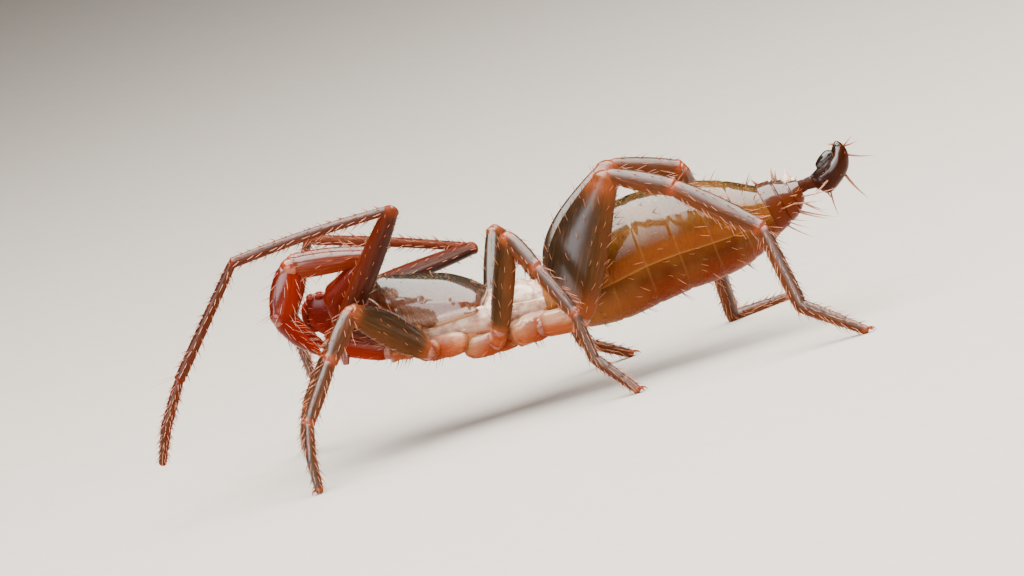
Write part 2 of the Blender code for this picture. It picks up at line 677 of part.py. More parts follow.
def plated_rings(rows, section):
    """Rings of a body whose plates overlap: each plate starts a small step lower."""
    rings = []
    for index, row in enumerate(between(rows, PLATE_SHARES)):
        ring = ring_points(row, section)
        if index % len(PLATE_SHARES) == 0:
            centre, _, _ = ring_frame(row)
            ring = [point + (centre - point).normalized() * PLATE_STEP for point in ring]
        rings.append(ring)
    return rings


def body_bristles(chance, rows, items):
    """Bristles at places given in rows round a ringed body."""
    result = []
    for item in items:
        row = row_at(rows, item.place)
        centre, upward, depth = ring_frame(row)
        ahead, _, _ = ring_frame(row_at(rows, min(item.place + 0.1, len(rows) - 1)))
        angle = math.radians(item.angle)
        side = Vector((0.0, row.half_width * math.cos(angle), 0.0))
        point = centre + side + upward * depth * math.sin(angle)
        outward = Vector((0.0, math.cos(angle) / row.half_width, 0.0))
        outward = (outward + upward * (math.sin(angle) / depth)).normalized()
        along = (ahead - centre).normalized()
        result.append(bristle(chance, point, outward, along, item))
    return result


def plate_bristles():
    """The places of the bristles in a row round each plate of the abdomen."""
    items = []
    for plate in range(len(ABDOMEN_ROWS) - 1):
        for angle in PLATE_BRISTLE_ANGLES:
            for turned in (angle, 180 - angle):
                length = PLATE_BRISTLE_LENGTH
                spot = plate + PLATE_BRISTLE_PLACE
                items.append(BodyBristle(spot, turned, length, PLATE_BRISTLE_LEAN))
    return items


def build_abdomen(chance):
    body = loft(plated_rings(ABDOMEN_ROWS, folded_section()))
    extras = body_bristles(chance, ABDOMEN_ROWS, plate_bristles())
    place("abdomen", fuse(body, extras), ABDOMEN_AMBER)
    tail = loft(plated_rings(TAIL_ROWS, round_section(TAIL_SIDES)))
    extras = body_bristles(chance, TAIL_ROWS, TAIL_BRISTLES)
    extras.append(knob(TAIL_HORN_BASE, TAIL_HORN_TIP, (TAIL_HORN_RADIUS, 0.006), 8))
    place("tail_rings", fuse(tail, extras), ABDOMEN_AMBER)
    section = round_section(FLAGELLUM_SIDES)
    bulb = loft([ring_points(row, section) for row in between(FLAGELLUM_ROWS, (0.0, 0.5))])
    section = round_section(THIN_SIDES)
    lobe = loft([ring_points(row, section) for row in between(FLAGELLUM_LOBE_ROWS, (0.0, 0.5))])
    extras = body_bristles(chance, FLAGELLUM_ROWS, FLAGELLUM_BRISTLES)
    place("flagellum", fuse(bulb, [lobe] + extras), TAIL_BROWN)


def build_jaws():
    section = round_section(THICK_SIDES)
    for side in (LEFT, RIGHT):
        shift = Vector((0.0, side * JAW_OFFSET, 0.0))
        rings = []
        for row in between(JAW_ROWS, (0.0, 0.5)):
            rings.append([point + shift for point in ring_points(row, section)])
        finger = [mirrored(point, side) for point in JAW_FINGER]
        extras = [spike(finger, JAW_FINGER_RADII, THIN_SIDES)]
        for centre in JAW_KNOBS:
            base = mirrored(centre, side) - Vector((0.0, 0.0, 2 * JAW_KNOB_RADIUS))
            radii = (1.6 * JAW_KNOB_RADIUS, JAW_KNOB_RADIUS)
            extras.append(knob(base, mirrored(centre, side), radii, THIN_SIDES))
        place("chelicera_" + SIDE_NAMES[side], fuse(loft(rings), extras), JAW_RED)


def limb_joints(name, side):
    """Places of the joints from the coxa to the tip, and the bend inside the tarsus."""
    joints = [mirrored(LIMB_ROOTS[name], side)]
    ways = [direction(lie) for lie in POSE[name, side]]
    shapes = LIMB_SHAPES[name]
    for (_, shape), way in zip(shapes[:-1], ways):
        joints.append(joints[-1] + way * shape.length)
    length = shapes[-1][1].length
    upper = length * UPPER_TARSUS[name]
    bend = joints[-1] + ways[-2] * upper
    tip = bend + ways[-1] * (length - upper)
    if name in WALKING_LEGS:
        tip = grounded_tip(bend, ways[-1], length - upper)
    return joints, bend, tip


def grounded_tip(bend, way, length):
    """Swing the last piece up or down until its tip stands at the level of the soles."""
    drop = SOLE_HEIGHT - bend.z
    flat = Vector((way.x, way.y, 0.0)).normalized()
    reach = math.sqrt(length * length - drop * drop)
    return bend + flat * reach + Vector((0.0, 0.0, drop))


def root_normal(name, side):
    """The way the joint between coxa and limb faces."""
    joints, _, _ = limb_joints(name, side)
    heart = mirrored(COXA_HEARTS[name], side)
    outward = (joints[0] - heart).normalized()
    along = (joints[1] - joints[0]).normalized()
    return (outward + along).normalized()


def point_on(path, distance):
    """Point and direction at a distance along a path, with the corner's direction shared."""
    lengths = [(b - a).length for a, b in zip(path, path[1:])]
    index = 0
    left = distance
    while index < len(lengths) - 1 and left > lengths[index]:
        left -= lengths[index]
        index += 1
    way = (path[index + 1] - path[index]).normalized()
    centre = path[index] + way * left
    if index > 0 and left < BEND_BLEND:
        previous = (path[index] - path[index - 1]).normalized()
        way = (way + previous * (1 - left / BEND_BLEND)).normalized()
    elif index < len(lengths) - 1 and lengths[index] - left < BEND_BLEND:
        following = (path[index + 2] - path[index + 1]).normalized()
        way = (way + following * (1 - (lengths[index] - left) / BEND_BLEND)).normalized()
    return centre, way


def segment_frame(path, shape, hinge, distance):
    """Centre, directions and half sizes of a segment's section at a distance along it."""
    total = sum((b - a).length for a, b in zip(path, path[1:]))
    centre, way = point_on(path, distance)
    upward = -hinge.cross(way).normalized()
    across = way.cross(upward).normalized()
    share = min(max(distance / total, 0.0), 1.0)
    centre = centre + upward * shape.bow * math.sin(math.pi * share)
    warped = share ** (math.log(0.5) / math.log(shape.peak))
    sizes = [curve_value(values, warped) for values in (shape.half_width, shape.above, shape.below)]
    return centre, way, across, upward, sizes


def segment_mesh(path, shape, hinge, ends, sides):
    """Loft one limb segment along a path of points, with domed ends to be trimmed."""
    total = sum((b - a).length for a, b in zip(path, path[1:]))
    before, after = ends
    stations = [(-before * reach, shrink) for reach, shrink in reversed(DOME)]
    stations += [(total * step / SEGMENT_STEPS, 1.0) for step in range(SEGMENT_STEPS + 1)]
    stations += [(total + after * reach, shrink) for reach, shrink in DOME]
    rings = []
    for distance, shrink in stations:
        centre, _, across, upward, sizes = segment_frame(path, shape, hinge, distance)
        half_width, above, below = [size * shrink for size in sizes]
        rings.append(oval(centre, across, upward, half_width, above, below, round_section(sides)))
    return loft(rings)


def segment_bristles(chance, path, shape, hinge, row):
    """The row of bristles along one limb segment."""
    total = sum((b - a).length for a, b in zip(path, path[1:]))
    result = []
    for index in range(row.count):
        share = row.first + (row.last - row.first) * (index + 0.3 * chance.random()) / row.count
        angle = math.radians(row.angles[index % len(row.angles)])
        frame = segment_frame(path, shape, hinge, total * share)
        centre, way, across, upward, (half_width, above, below) = frame
        depth = above if math.sin(angle) > 0 else below
        point = centre + across * half_width * math.cos(angle) + upward * depth * math.sin(angle)
        outward = across * (math.cos(angle) / half_width) + upward * (math.sin(angle) / depth)
        size = BodyBristle(share, 0, row.length, row.lean)
        result.append(bristle(chance, point, outward.normalized(), way, size))
    return result


def claws(name, bend, tip):
    """Two claws at a walking foot or one at a palp's tip. A feeler has none."""
    way = (tip - bend).normalized()
    if name == "palp":
        points = [tip + way * reach for reach in PALP_CLAW_REACHES]
        return [spike(points, PALP_CLAW_RADII, THIN_SIDES)]
    if name not in WALKING_LEGS:
        return []
    flat = Vector((way.x, way.y, 0.0)).normalized()
    aside = Vector((-flat.y, flat.x, 0.0))
    result = []
    for spread in (-CLAW_SPREAD, CLAW_SPREAD):
        points = []
        for reach, spreading, level in CLAW_COURSE:
            point = tip + flat * reach + aside * spread * spreading
            points.append(Vector((point.x, point.y, level)))
        result.append(spike(points, CLAW_RADII, CLAW_SIDES))
    return result


def build_limb(chance, name, side):
    joints, bend, tip = limb_joints(name, side)
    shapes = LIMB_SHAPES[name]
    ways = [(b - a).normalized() for a, b in zip(joints, joints[1:])]
    ways.append((bend - joints[-1]).normalized())
    hinge = ways[1].cross(ways[2]).normalized()
    for index, (part, shape) in enumerate(shapes):
        is_last = index == len(shapes) - 1
        path = [joints[index], bend, tip] if is_last else [joints[index], joints[index + 1]]
        base_size = max(shape.above[0], shape.below[0])
        tip_size = max(shape.above[-1], shape.below[-1])
        ends = (base_size, LAST_DOME_SHARE * tip_size if is_last else tip_size)
        sides = THIN_SIDES if shape.above[1] < SLENDER_BELOW else THICK_SIDES
        mesh = segment_mesh(path, shape, hinge, ends, sides)
        outward = -root_normal(name, side) if index == 0 else -(ways[index - 1] + ways[index]).normalized()
        trim(mesh, joints[index] - outward * GAP / 2, outward)
        extras = []
        if is_last:
            extras += claws(name, bend, tip)
        else:
            outward = (ways[index] + ways[index + 1]).normalized()
            trim(mesh, joints[index + 1] - outward * GAP / 2, outward)
        if is_last and name in WALKING_LEGS:
            trim(mesh, Vector((0.0, 0.0, 0.0)), Vector((0.0, 0.0, -1.0)))
        if name == "palp" and index == 0:
            base = mirrored(PALP_KNOB_BASE, side)
            extras.append(knob(base, mirrored(PALP_KNOB_TIP, side), PALP_KNOB_RADII, THIN_SIDES))
        if (name, part) in LIMB_BRISTLES:
            row = LIMB_BRISTLES[name, part]
            extras += segment_bristles(chance, path, shape, hinge, row)
        place("_".join((name, SIDE_NAMES[side], part)), fuse(mesh, extras), LIMB_COLOURS[name])


def main():
    clear_scene()
    chance = random.Random(SEED)
    build_prosoma(chance)
    build_abdomen(chance)
    build_jaws()
    for name in LIMB_SHAPES:
        for side in (LEFT, RIGHT):
            build_limb(chance, name, side)


main()
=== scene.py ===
"""Looks of the shoshone cave whip-scorpion, an adult male short-tailed whip-scorpion.

The tables are in millimetres, in the animal's own frame: it faces -X, its left side faces
-Y and its walking feet stand on Z = 0. A piece is turned into metres when it is made.
"""

import math
from collections import namedtuple

import bpy
import numpy as np
from mathutils import Matrix, Vector, noise


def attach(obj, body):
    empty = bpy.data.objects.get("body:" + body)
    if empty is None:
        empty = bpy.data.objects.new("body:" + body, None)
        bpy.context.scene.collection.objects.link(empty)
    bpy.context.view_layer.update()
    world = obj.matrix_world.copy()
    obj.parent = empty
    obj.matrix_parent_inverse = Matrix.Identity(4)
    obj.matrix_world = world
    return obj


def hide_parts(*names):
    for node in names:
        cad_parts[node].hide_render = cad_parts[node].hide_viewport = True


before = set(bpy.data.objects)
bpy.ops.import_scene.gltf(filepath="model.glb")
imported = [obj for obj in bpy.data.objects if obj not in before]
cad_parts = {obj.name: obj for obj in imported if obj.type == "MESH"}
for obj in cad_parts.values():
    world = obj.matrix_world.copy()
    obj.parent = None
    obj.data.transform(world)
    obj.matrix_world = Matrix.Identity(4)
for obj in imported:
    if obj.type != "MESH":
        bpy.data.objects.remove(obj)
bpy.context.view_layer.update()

MM = 0.001
SPAN_MIDDLE = np.array((0.338, 0.444, 0.0))
LEFT = -1
RIGHT = 1
SIDE_NAMES = {LEFT: "left", RIGHT: "right"}

# The camera looks along the animal's side from a little above, rolled so that the tail
# rises. The point that it looks at is in millimetres.
CAMERA_ROLL = 16.8
CAMERA_HEIGHT_ANGLE = 7.0
CAMERA_TARGET = np.array((0.363, 0.0, 1.211))
CAMERA_DISTANCE = 100.0
VIEW_WIDTH = 10.24
SENSOR_WIDTH = 36.0
FLOOR_HALF_WIDTH = 600.0
ROOM_COLOUR = "#B9B4AE"
ROOM_LIGHT = 0.10
# Soft boxes: where each hangs, what it is turned to, its width and height, power and colour.
ANIMAL_MIDDLE = (0.3, 0.0, 1.2)
SoftBox = namedtuple("SoftBox", "name place aim size power colour")
SOFT_BOXES = (
    SoftBox("top_box", (9.0, -7.5, 42.0), (9.0, -7.5, 0.0), (66.0, 56.0), 0.141, "#FFF9F0"),
    SoftBox("front_box", (-10.5, -49.0, 30.5), ANIMAL_MIDDLE, (44.0, 43.0), 0.0398, "#FBFAFB"),
    SoftBox("head_box", (-48.5, -35.0, 9.0), ANIMAL_MIDDLE, (15.0, 17.0), 0.0045, "#EEF1F8"),
    SoftBox("shoulder_box", (-39.0, -38.0, 26.6), ANIMAL_MIDDLE, (21.0, 18.0), 0.0056, "#FBFAFB"),
)

# Prosoma: place along X, level of the side edge, top and half width.
ProsomaRow = namedtuple("ProsomaRow", "x edge top half_width")
SHIELD_ROWS = (
    ProsomaRow(-1.05, 1.535, 1.590, 0.035),
    ProsomaRow(-0.98, 1.440, 1.660, 0.120),
    ProsomaRow(-0.88, 1.285, 1.715, 0.215),
    ProsomaRow(-0.70, 1.150, 1.675, 0.300),
    ProsomaRow(-0.46, 1.110, 1.615, 0.350),
    ProsomaRow(-0.22, 1.115, 1.545, 0.365),
    ProsomaRow(-0.03, 1.115, 1.435, 0.355),
    ProsomaRow(0.08, 1.120, 1.345, 0.340),
    ProsomaRow(0.13, 1.125, 1.298, 0.322),
)
# The shield's hind border leans forward this far from the back to the side edge.
SHIELD_SLANT = 0.165
# How much wider the shield's sides stand at their lower edge than an even arch would.
SHIELD_FLARE = 0.26
WAIST_ROWS = (
    ProsomaRow(-0.10, 1.020, 1.170, 0.290),
    ProsomaRow(0.10, 1.020, 1.255, 0.300),
    ProsomaRow(0.30, 1.020, 1.275, 0.295),
    ProsomaRow(0.46, 1.020, 1.262, 0.285),
    ProsomaRow(0.62, 1.020, 1.205, 0.270),
    ProsomaRow(0.72, 1.020, 1.180, 0.250),
)
UNDERSIDE_ROWS = (
    ProsomaRow(-0.93, 1.270, 0.945, 0.180),
    ProsomaRow(-0.88, 1.250, 0.905, 0.230),
    ProsomaRow(-0.70, 1.170, 0.840, 0.310),
    ProsomaRow(-0.46, 1.160, 0.780, 0.380),
    ProsomaRow(-0.22, 1.170, 0.720, 0.405),
    ProsomaRow(0.00, 1.170, 0.690, 0.405),
    ProsomaRow(0.14, 1.120, 0.680, 0.400),
    ProsomaRow(0.30, 1.100, 0.675, 0.385),
    ProsomaRow(0.44, 1.080, 0.685, 0.360),
    ProsomaRow(0.64, 1.060, 0.700, 0.295),
)
ARCH_FULLNESS = 0.8
# Shallow pits of the shield where muscles hold on, and the dull patch at its front and along
# its side, as spots that run together: X, Z, depth and radius, on each side.
ShieldPit = namedtuple("ShieldPit", "x z depth radius")
PIT_DEPTH_SHARE = 0.4
SHIELD_PITS = (
    ShieldPit(-0.535, 1.405, 0.014, 0.030),
    ShieldPit(-0.262, 1.325, 0.012, 0.022),
    ShieldPit(-0.238, 1.280, 0.011, 0.020),
    ShieldPit(-0.120, 1.235, 0.010, 0.026),
    ShieldPit(-0.100, 1.190, 0.009, 0.020),
    ShieldPit(-0.800, 1.530, 0.003, 0.080),
    ShieldPit(-0.740, 1.325, 0.003, 0.090),
    ShieldPit(-0.620, 1.265, 0.003, 0.100),
    ShieldPit(-0.510, 1.200, 0.003, 0.095),
)

# Ringed bodies: a point on the back, a point on the belly, and the half width.
RingRow = namedtuple("RingRow", "top_x top_z belly_x belly_z half_width")
ABDOMEN_ROWS = (
    RingRow(0.605, 1.200, 0.605, 0.665, 0.280),
    RingRow(0.937, 1.441, 0.963, 0.611, 0.374),
    RingRow(1.287, 1.661, 1.353, 0.583, 0.439),
    RingRow(1.660, 1.763, 1.740, 0.633, 0.468),
    RingRow(2.010, 1.764, 2.090, 0.678, 0.469),
    RingRow(2.349, 1.727, 2.451, 0.703, 0.443),
    RingRow(2.678, 1.634, 2.802, 0.788, 0.381),
    RingRow(2.985, 1.485, 3.105, 0.965, 0.280),
)
TAIL_ROWS = (
    RingRow(2.960, 1.495, 3.085, 0.955, 0.262),
    RingRow(3.130, 1.500, 3.235, 1.030, 0.230),
    RingRow(3.270, 1.462, 3.350, 1.110, 0.188),
    RingRow(3.400, 1.435, 3.430, 1.230, 0.115),
)
FLAGELLUM_ROWS = (
    RingRow(3.390, 1.412, 3.418, 1.282, 0.050),
    RingRow(3.530, 1.425, 3.550, 1.290, 0.056),
    RingRow(3.615, 1.470, 3.670, 1.205, 0.112),
    RingRow(3.715, 1.530, 3.800, 1.265, 0.150),
    RingRow(3.800, 1.595, 3.925, 1.385, 0.135),
    RingRow(3.850, 1.665, 3.968, 1.520, 0.085),
    RingRow(3.890, 1.697, 3.950, 1.630, 0.035),
)
FLAGELLUM_LOBE_ROWS = (
    RingRow(3.605, 1.500, 3.650, 1.440, 0.022),
    RingRow(3.665, 1.572, 3.730, 1.480, 0.058),
    RingRow(3.750, 1.622, 3.800, 1.530, 0.058),
    RingRow(3.818, 1.614, 3.842, 1.565, 0.024),
)
JAW_ROWS = (
    RingRow(-0.940, 1.300, -0.940, 1.070, 0.070),
    RingRow(-1.090, 1.500, -1.100, 1.110, 0.078),
    RingRow(-1.280, 1.640, -1.320, 1.200, 0.080),
    RingRow(-1.470, 1.715, -1.540, 1.300, 0.078),
    RingRow(-1.590, 1.715, -1.640, 1.395, 0.068),
    RingRow(-1.660, 1.640, -1.680, 1.460, 0.040),
)
JAW_OFFSET = 0.092
# The movable finger of a jaw and the fixed one under it: X and Z of points, and the radii.
JAW_FINGER = ((-1.585, 1.665), (-1.668, 1.615), (-1.700, 1.530), (-1.694, 1.450), (-1.662, 1.378))
JAW_FINGER_RADII = (0.046, 0.040, 0.033, 0.021, 0.003)
JAW_FIXED_FINGER = ((-1.600, 1.400), (-1.648, 1.398), (-1.680, 1.425), (-1.688, 1.460))
JAW_FIXED_FINGER_RADII = (0.040, 0.030, 0.018, 0.003)
JAW_TEETH = 5
# Round knobs on a jaw's forehead: X, Z, radius and how far each is stretched along X, Y and Z.
JAW_KNOBS = (
    (-1.595, 1.692, 0.042, (1.2, 1.0, 0.95)),
    (-1.510, 1.690, 0.046, (1.3, 1.0, 0.9)),
)
JAW_KNOB_OFFSET = 0.100
# The horn over the last tail ring, and the low flange behind it, on the middle line.
HORN_POINTS = ((3.286, 0, 1.36), (3.300, 0, 1.45), (3.312, 0, 1.51), (3.318, 0, 1.562))
HORN_RADII = (0.085, 0.060, 0.024, 0.004)
FLANGE_POINTS = ((3.34, 0, 1.36), (3.365, 0, 1.435), (3.39, 0, 1.462))
FLANGE_RADII = (0.06, 0.040, 0.008)
# Lumps under the tip of the flagellum: X, Z and radius, on each side.
FLAGELLUM_LUMPS = ((3.885, 1.640, 0.026), (3.845, 1.585, 0.030))
FLAGELLUM_LUMP_OFFSET = 0.045
PLATE_STEP = 0.008
# The fold between back plates and belly plates, in degrees below the middle.
FOLD_ANGLE = -12

# A limb segment: its length, and its half depth above, half depth below and half width,
# each at its base, its thickest place and its tip.
Shape = namedtuple("Shape", "length above below half_width peak bow", defaults=(0.5, 0.0))
Lie = namedtuple("Lie", "turn rise")
# Half depth of the front of the palp's femur at even steps: slim, then bulging, then tapering.
PALP_BULGE = (0.085, 0.090, 0.265, 0.215, 0.160, 0.095)
PALP_SHAPES = (
    Shape(0.57, (0.130, 0.135, 0.125), (0.120, 0.140, 0.140), (0.085, 0.095, 0.082)),
    Shape(0.93, (0.120, 0.130, 0.100), PALP_BULGE, (0.070, 0.088, 0.065), 0.5),
    Shape(0.80, (0.065, 0.112, 0.105), (0.065, 0.115, 0.120), (0.060, 0.085, 0.082)),
    Shape(0.54, (0.120, 0.152, 0.100), (0.125, 0.148, 0.110), (0.080, 0.090, 0.070)),
    Shape(0.49, (0.080, 0.075, 0.035), (0.080, 0.078, 0.038), (0.062, 0.058, 0.025)),
)
FEELER_SHAPES = (
    Shape(0.54, (0.090, 0.095, 0.100), (0.090, 0.095, 0.100), (0.070, 0.075, 0.072)),
    Shape(1.42, (0.105, 0.125, 0.082), (0.100, 0.115, 0.078), (0.068, 0.078, 0.060)),
    Shape(1.70, (0.048, 0.056, 0.058), (0.046, 0.054, 0.058), (0.044, 0.050, 0.050), bow=0.028),
    Shape(1.28, (0.045, 0.054, 0.056), (0.045, 0.054, 0.056), (0.043, 0.050, 0.050)),
    Shape(0.86, (0.045, 0.056, 0.040), (0.045, 0.056, 0.040), (0.042, 0.052, 0.038)),
)
LEG_2_SHAPES = (
    Shape(0.14, (0.095, 0.100, 0.100), (0.095, 0.100, 0.100), (0.080, 0.085, 0.085)),
    Shape(0.99, (0.120, 0.195, 0.100), (0.110, 0.155, 0.090), (0.085, 0.105, 0.075)),
    Shape(0.56, (0.090, 0.110, 0.085), (0.085, 0.105, 0.080), (0.070, 0.080, 0.065)),
    Shape(0.67, (0.068, 0.078, 0.065), (0.068, 0.076, 0.065), (0.058, 0.064, 0.055)),
    Shape(0.68, (0.055, 0.058, 0.045), (0.055, 0.055, 0.045), (0.050, 0.050, 0.042)),
)
LEG_3_SHAPES = (
    Shape(0.17, (0.090, 0.095, 0.095), (0.090, 0.095, 0.095), (0.080, 0.085, 0.080)),
    Shape(0.98, (0.105, 0.130, 0.095), (0.100, 0.125, 0.090), (0.080, 0.092, 0.075)),
    Shape(0.45, (0.085, 0.098, 0.082), (0.080, 0.092, 0.078), (0.068, 0.075, 0.065)),
    Shape(0.60, (0.072, 0.084, 0.070), (0.070, 0.080, 0.068), (0.058, 0.064, 0.056)),
    Shape(1.03, (0.060, 0.064, 0.045), (0.058, 0.058, 0.045), (0.052, 0.050, 0.042)),
)
LEG_4_SHAPES = (
    Shape(0.43, (0.130, 0.140, 0.140), (0.120, 0.130, 0.130), (0.090, 0.100, 0.095)),
    Shape(1.48, (0.170, 0.460, 0.125), (0.120, 0.160, 0.105), (0.100, 0.140, 0.085), 0.38),
    Shape(0.70, (0.074, 0.104, 0.095), (0.070, 0.098, 0.088), (0.070, 0.085, 0.072)),
    Shape(1.00, (0.090, 0.112, 0.080), (0.085, 0.104, 0.078), (0.070, 0.080, 0.066)),
    Shape(1.57, (0.072, 0.080, 0.045), (0.070, 0.072, 0.045), (0.062, 0.060, 0.042)),
)
LIMB_SHAPES = {
    "palp": PALP_SHAPES,
    "leg_1": FEELER_SHAPES,
    "leg_2": LEG_2_SHAPES,
    "leg_3": LEG_3_SHAPES,
    "leg_4": LEG_4_SHAPES,
}
# Every limb table has a row or an entry for each of these parts, in this order.
PARTS = ("trochanter", "femur", "patella", "tibia", "tarsus")
UPPER_TARSUS = {"leg_1": 0.57, "leg_2": 0.50, "leg_3": 0.476, "leg_4": 0.56, "palp": 0.49}
# Where the joints of a tarsus ring it, as shares of its length.
TARSUS_GROOVES = {
    "leg_1": (0.36, 0.48, 0.58, 0.67, 0.76, 0.85),
    "leg_2": (0.50, 0.72),
    "leg_3": (0.476, 0.66, 0.82),
    "leg_4": (0.56, 0.72, 0.86),
    "palp": (0.80,),
}
BEND_BLEND = 0.12
LIMB_ROOTS = {
    "palp": Vector((-0.990, -0.272, 1.010)),
    "leg_1": Vector((-0.900, -0.440, 1.090)),
    "leg_2": Vector((-0.540, -0.390, 0.905)),
    "leg_3": Vector((0.060, -0.395, 0.780)),
    "leg_4": Vector((0.545, -0.430, 0.810)),
}
# A coxa's half height, and how much wider than high it is.
COXA_RADII = {"leg_1": 0.105, "leg_2": 0.118, "leg_3": 0.115, "leg_4": 0.135, "palp": 0.125}
COXA_WIDTHS = {"leg_1": 1.3, "leg_2": 2.5, "leg_3": 2.65, "leg_4": 2.0, "palp": 1.2}
# How boxy a coxa's section is: 1 would be an ellipse.
COXA_FULLNESS = 0.62
# Soft bulges that close the gaps between the walking legs' coxae: X, Z and radius.
COXA_BULGES = ((-0.21, 0.865, 0.1134), (0.20, 0.845, 0.1026))
COXA_BULGE_OFFSET = 0.315
# Where a coxa starts, near the middle line.
COXA_HEARTS = {
    "palp": Vector((-0.700, -0.200, 0.980)),
    "leg_1": Vector((-0.620, -0.200, 1.000)),
    "leg_2": Vector((-0.380, -0.180, 0.880)),
    "leg_3": Vector((0.020, -0.180, 0.800)),
    "leg_4": Vector((0.330, -0.180, 0.820)),
}
POSE = {
    ("palp", LEFT): (
        Lie(-179, 26), Lie(-8, 50), Lie(-175, 9),
        Lie(-167, -62), Lie(8, -61), Lie(0, -51),
    ),
    ("palp", RIGHT): (
        Lie(179, 24.5), Lie(8, 45.5), Lie(175, 8.5),
        Lie(167, -62), Lie(-8, -61), Lie(0, -51),
    ),
    ("leg_1", LEFT): (
        Lie(-172, 35), Lie(-36, 47), Lie(169, -3),
        Lie(180, -49), Lie(-162, -56), Lie(166, -67),
    ),
    ("leg_1", RIGHT): (
        Lie(168, 60), Lie(26, 1), Lie(169, 18),
        Lie(115, -41), Lie(89, -44), Lie(84, -70),
    ),
    ("leg_2", LEFT): (
        Lie(-126, 6), Lie(-145, 40), Lie(-143, -43),
        Lie(-147, -48), Lie(-119, -65), Lie(-117, -69),
    ),
    ("leg_2", RIGHT): (
        Lie(126, -1), Lie(136, 32), Lie(164, -49),
        Lie(155, -50), Lie(133, -61), Lie(96, -37),
    ),
    ("leg_3", LEFT): (
        Lie(-59, 43), Lie(-31, 66), Lie(-51, -50),
        Lie(-38, -60), Lie(-25, -83), Lie(-21, -42),
    ),
    ("leg_3", RIGHT): (
        Lie(70, 45), Lie(63, 54), Lie(34, -58),
        Lie(20, -65), Lie(57, -71), Lie(16, -27),
    ),
    ("leg_4", LEFT): (
        Lie(-26, 0), Lie(-18, 62), Lie(-23, -24),
        Lie(-29, -36), Lie(-65, -68), Lie(-13, -33),
    ),
    ("leg_4", RIGHT): (
        Lie(25, 0), Lie(35, 52), Lie(0, -20),
        Lie(77, -69), Lie(88, -62), Lie(29, -7),
    ),
}
WALKING_LEGS = ("leg_2", "leg_3", "leg_4")
LIMB_FINISHES = {
    "palp": ("palp", "dark_palp", "brown_palp", "palp", "jaw"),
    "leg_1": ("dark_feeler", "dark_feeler", "feeler", "feeler", "feeler"),
    "leg_2": ("coxa", "dark_leg", "leg", "leg", "leg"),
    "leg_3": ("coxa", "dark_leg", "leg", "leg", "leg"),
    "leg_4": ("coxa", "dark_leg", "leg", "leg", "leg"),
}
SOLE_HEIGHT = 0.030
# Nothing of a bristle reaches lower than this.
BRISTLE_FLOOR = 0.003
KNOB_POINTS = ((-1.415, -0.300, 1.13), (-1.430, -0.300, 1.05), (-1.440, -0.300, 0.992))
KNOB_RADII = (0.050, 0.044, 0.030)
# A walking foot's claws: how far each spreads to its side, and how far it reaches.
CLAW_SPREADS = ((-0.034, 0.090), (0.034, 0.090), (0.0, 0.055))
CLAW_RADII = (0.013, 0.011, 0.007, 0.0015)

# Coats of bristles: how many rows stand round a segment, how many bristles a row has in a
# millimetre, then length, lean towards the tip in degrees, and root radius.
Coat = namedtuple("Coat", "rows per_mm length lean radius")
FRONT_LEG_COATS = (
    None,
    Coat(9, 6, 0.08, 50, 0.0040),
    Coat(9, 8, 0.09, 50, 0.0040),
    Coat(9, 9, 0.10, 52, 0.0040),
    Coat(10, 12, 0.08, 55, 0.0038),
)
LIMB_COATS = {
    "palp": (
        Coat(7, 7, 0.10, 35, 0.0034),
        Coat(6, 5, 0.09, 35, 0.0032),
        Coat(7, 6, 0.12, 36, 0.0036),
        Coat(8, 8, 0.16, 34, 0.0038),
        Coat(9, 12, 0.11, 42, 0.0034),
    ),
    "leg_1": (
        Coat(6, 6, 0.07, 45, 0.0036),
        Coat(8, 6, 0.055, 50, 0.0044),
        Coat(8, 8, 0.085, 48, 0.0058),
        Coat(8, 8, 0.080, 46, 0.0056),
        Coat(12, 15, 0.060, 46, 0.0046),
    ),
    "leg_2": FRONT_LEG_COATS,
    "leg_3": FRONT_LEG_COATS,
    "leg_4": (
        None,
        Coat(12, 5, 0.09, 48, 0.0042),
        Coat(9, 7, 0.10, 50, 0.0042),
        Coat(9, 8, 0.11, 52, 0.0042),
        Coat(10, 11, 0.09, 55, 0.0040),
    ),
}
# Long bristles of the body: place in rows, angle with 0 on the right side and 90 above,
# length, lean and root radius.
BodyBristle = namedtuple("BodyBristle", "place angle length lean radius")
TAIL_BRISTLES = (
    BodyBristle(0.35, 97, 0.10, -25, 0.014),
    BodyBristle(1.30, 82, 0.19, 8, 0.018),
    BodyBristle(1.45, 100, 0.15, 15, 0.013),
    BodyBristle(0.80, 190, 0.16, 45, 0.008),
    BodyBristle(0.80, -10, 0.16, 45, 0.008),
    BodyBristle(0.80, 232, 0.28, 36, 0.010),
    BodyBristle(0.80, -52, 0.28, 36, 0.010),
    BodyBristle(1.80, 198, 0.34, 50, 0.010),
    BodyBristle(1.80, -18, 0.34, 50, 0.010),
    BodyBristle(1.80, 240, 0.38, 32, 0.010),
    BodyBristle(1.80, -60, 0.38, 32, 0.010),
    BodyBristle(2.60, 205, 0.32, 48, 0.010),
    BodyBristle(2.60, -25, 0.32, 48, 0.010),
    BodyBristle(2.55, 255, 0.30, 24, 0.008),
    BodyBristle(2.55, -75, 0.30, 24, 0.008),
    BodyBristle(1.85, 172, 0.13, 30, 0.008),
    BodyBristle(1.85, 8, 0.13, 30, 0.008),
    BodyBristle(0.70, 262, 0.24, 30, 0.008),
)
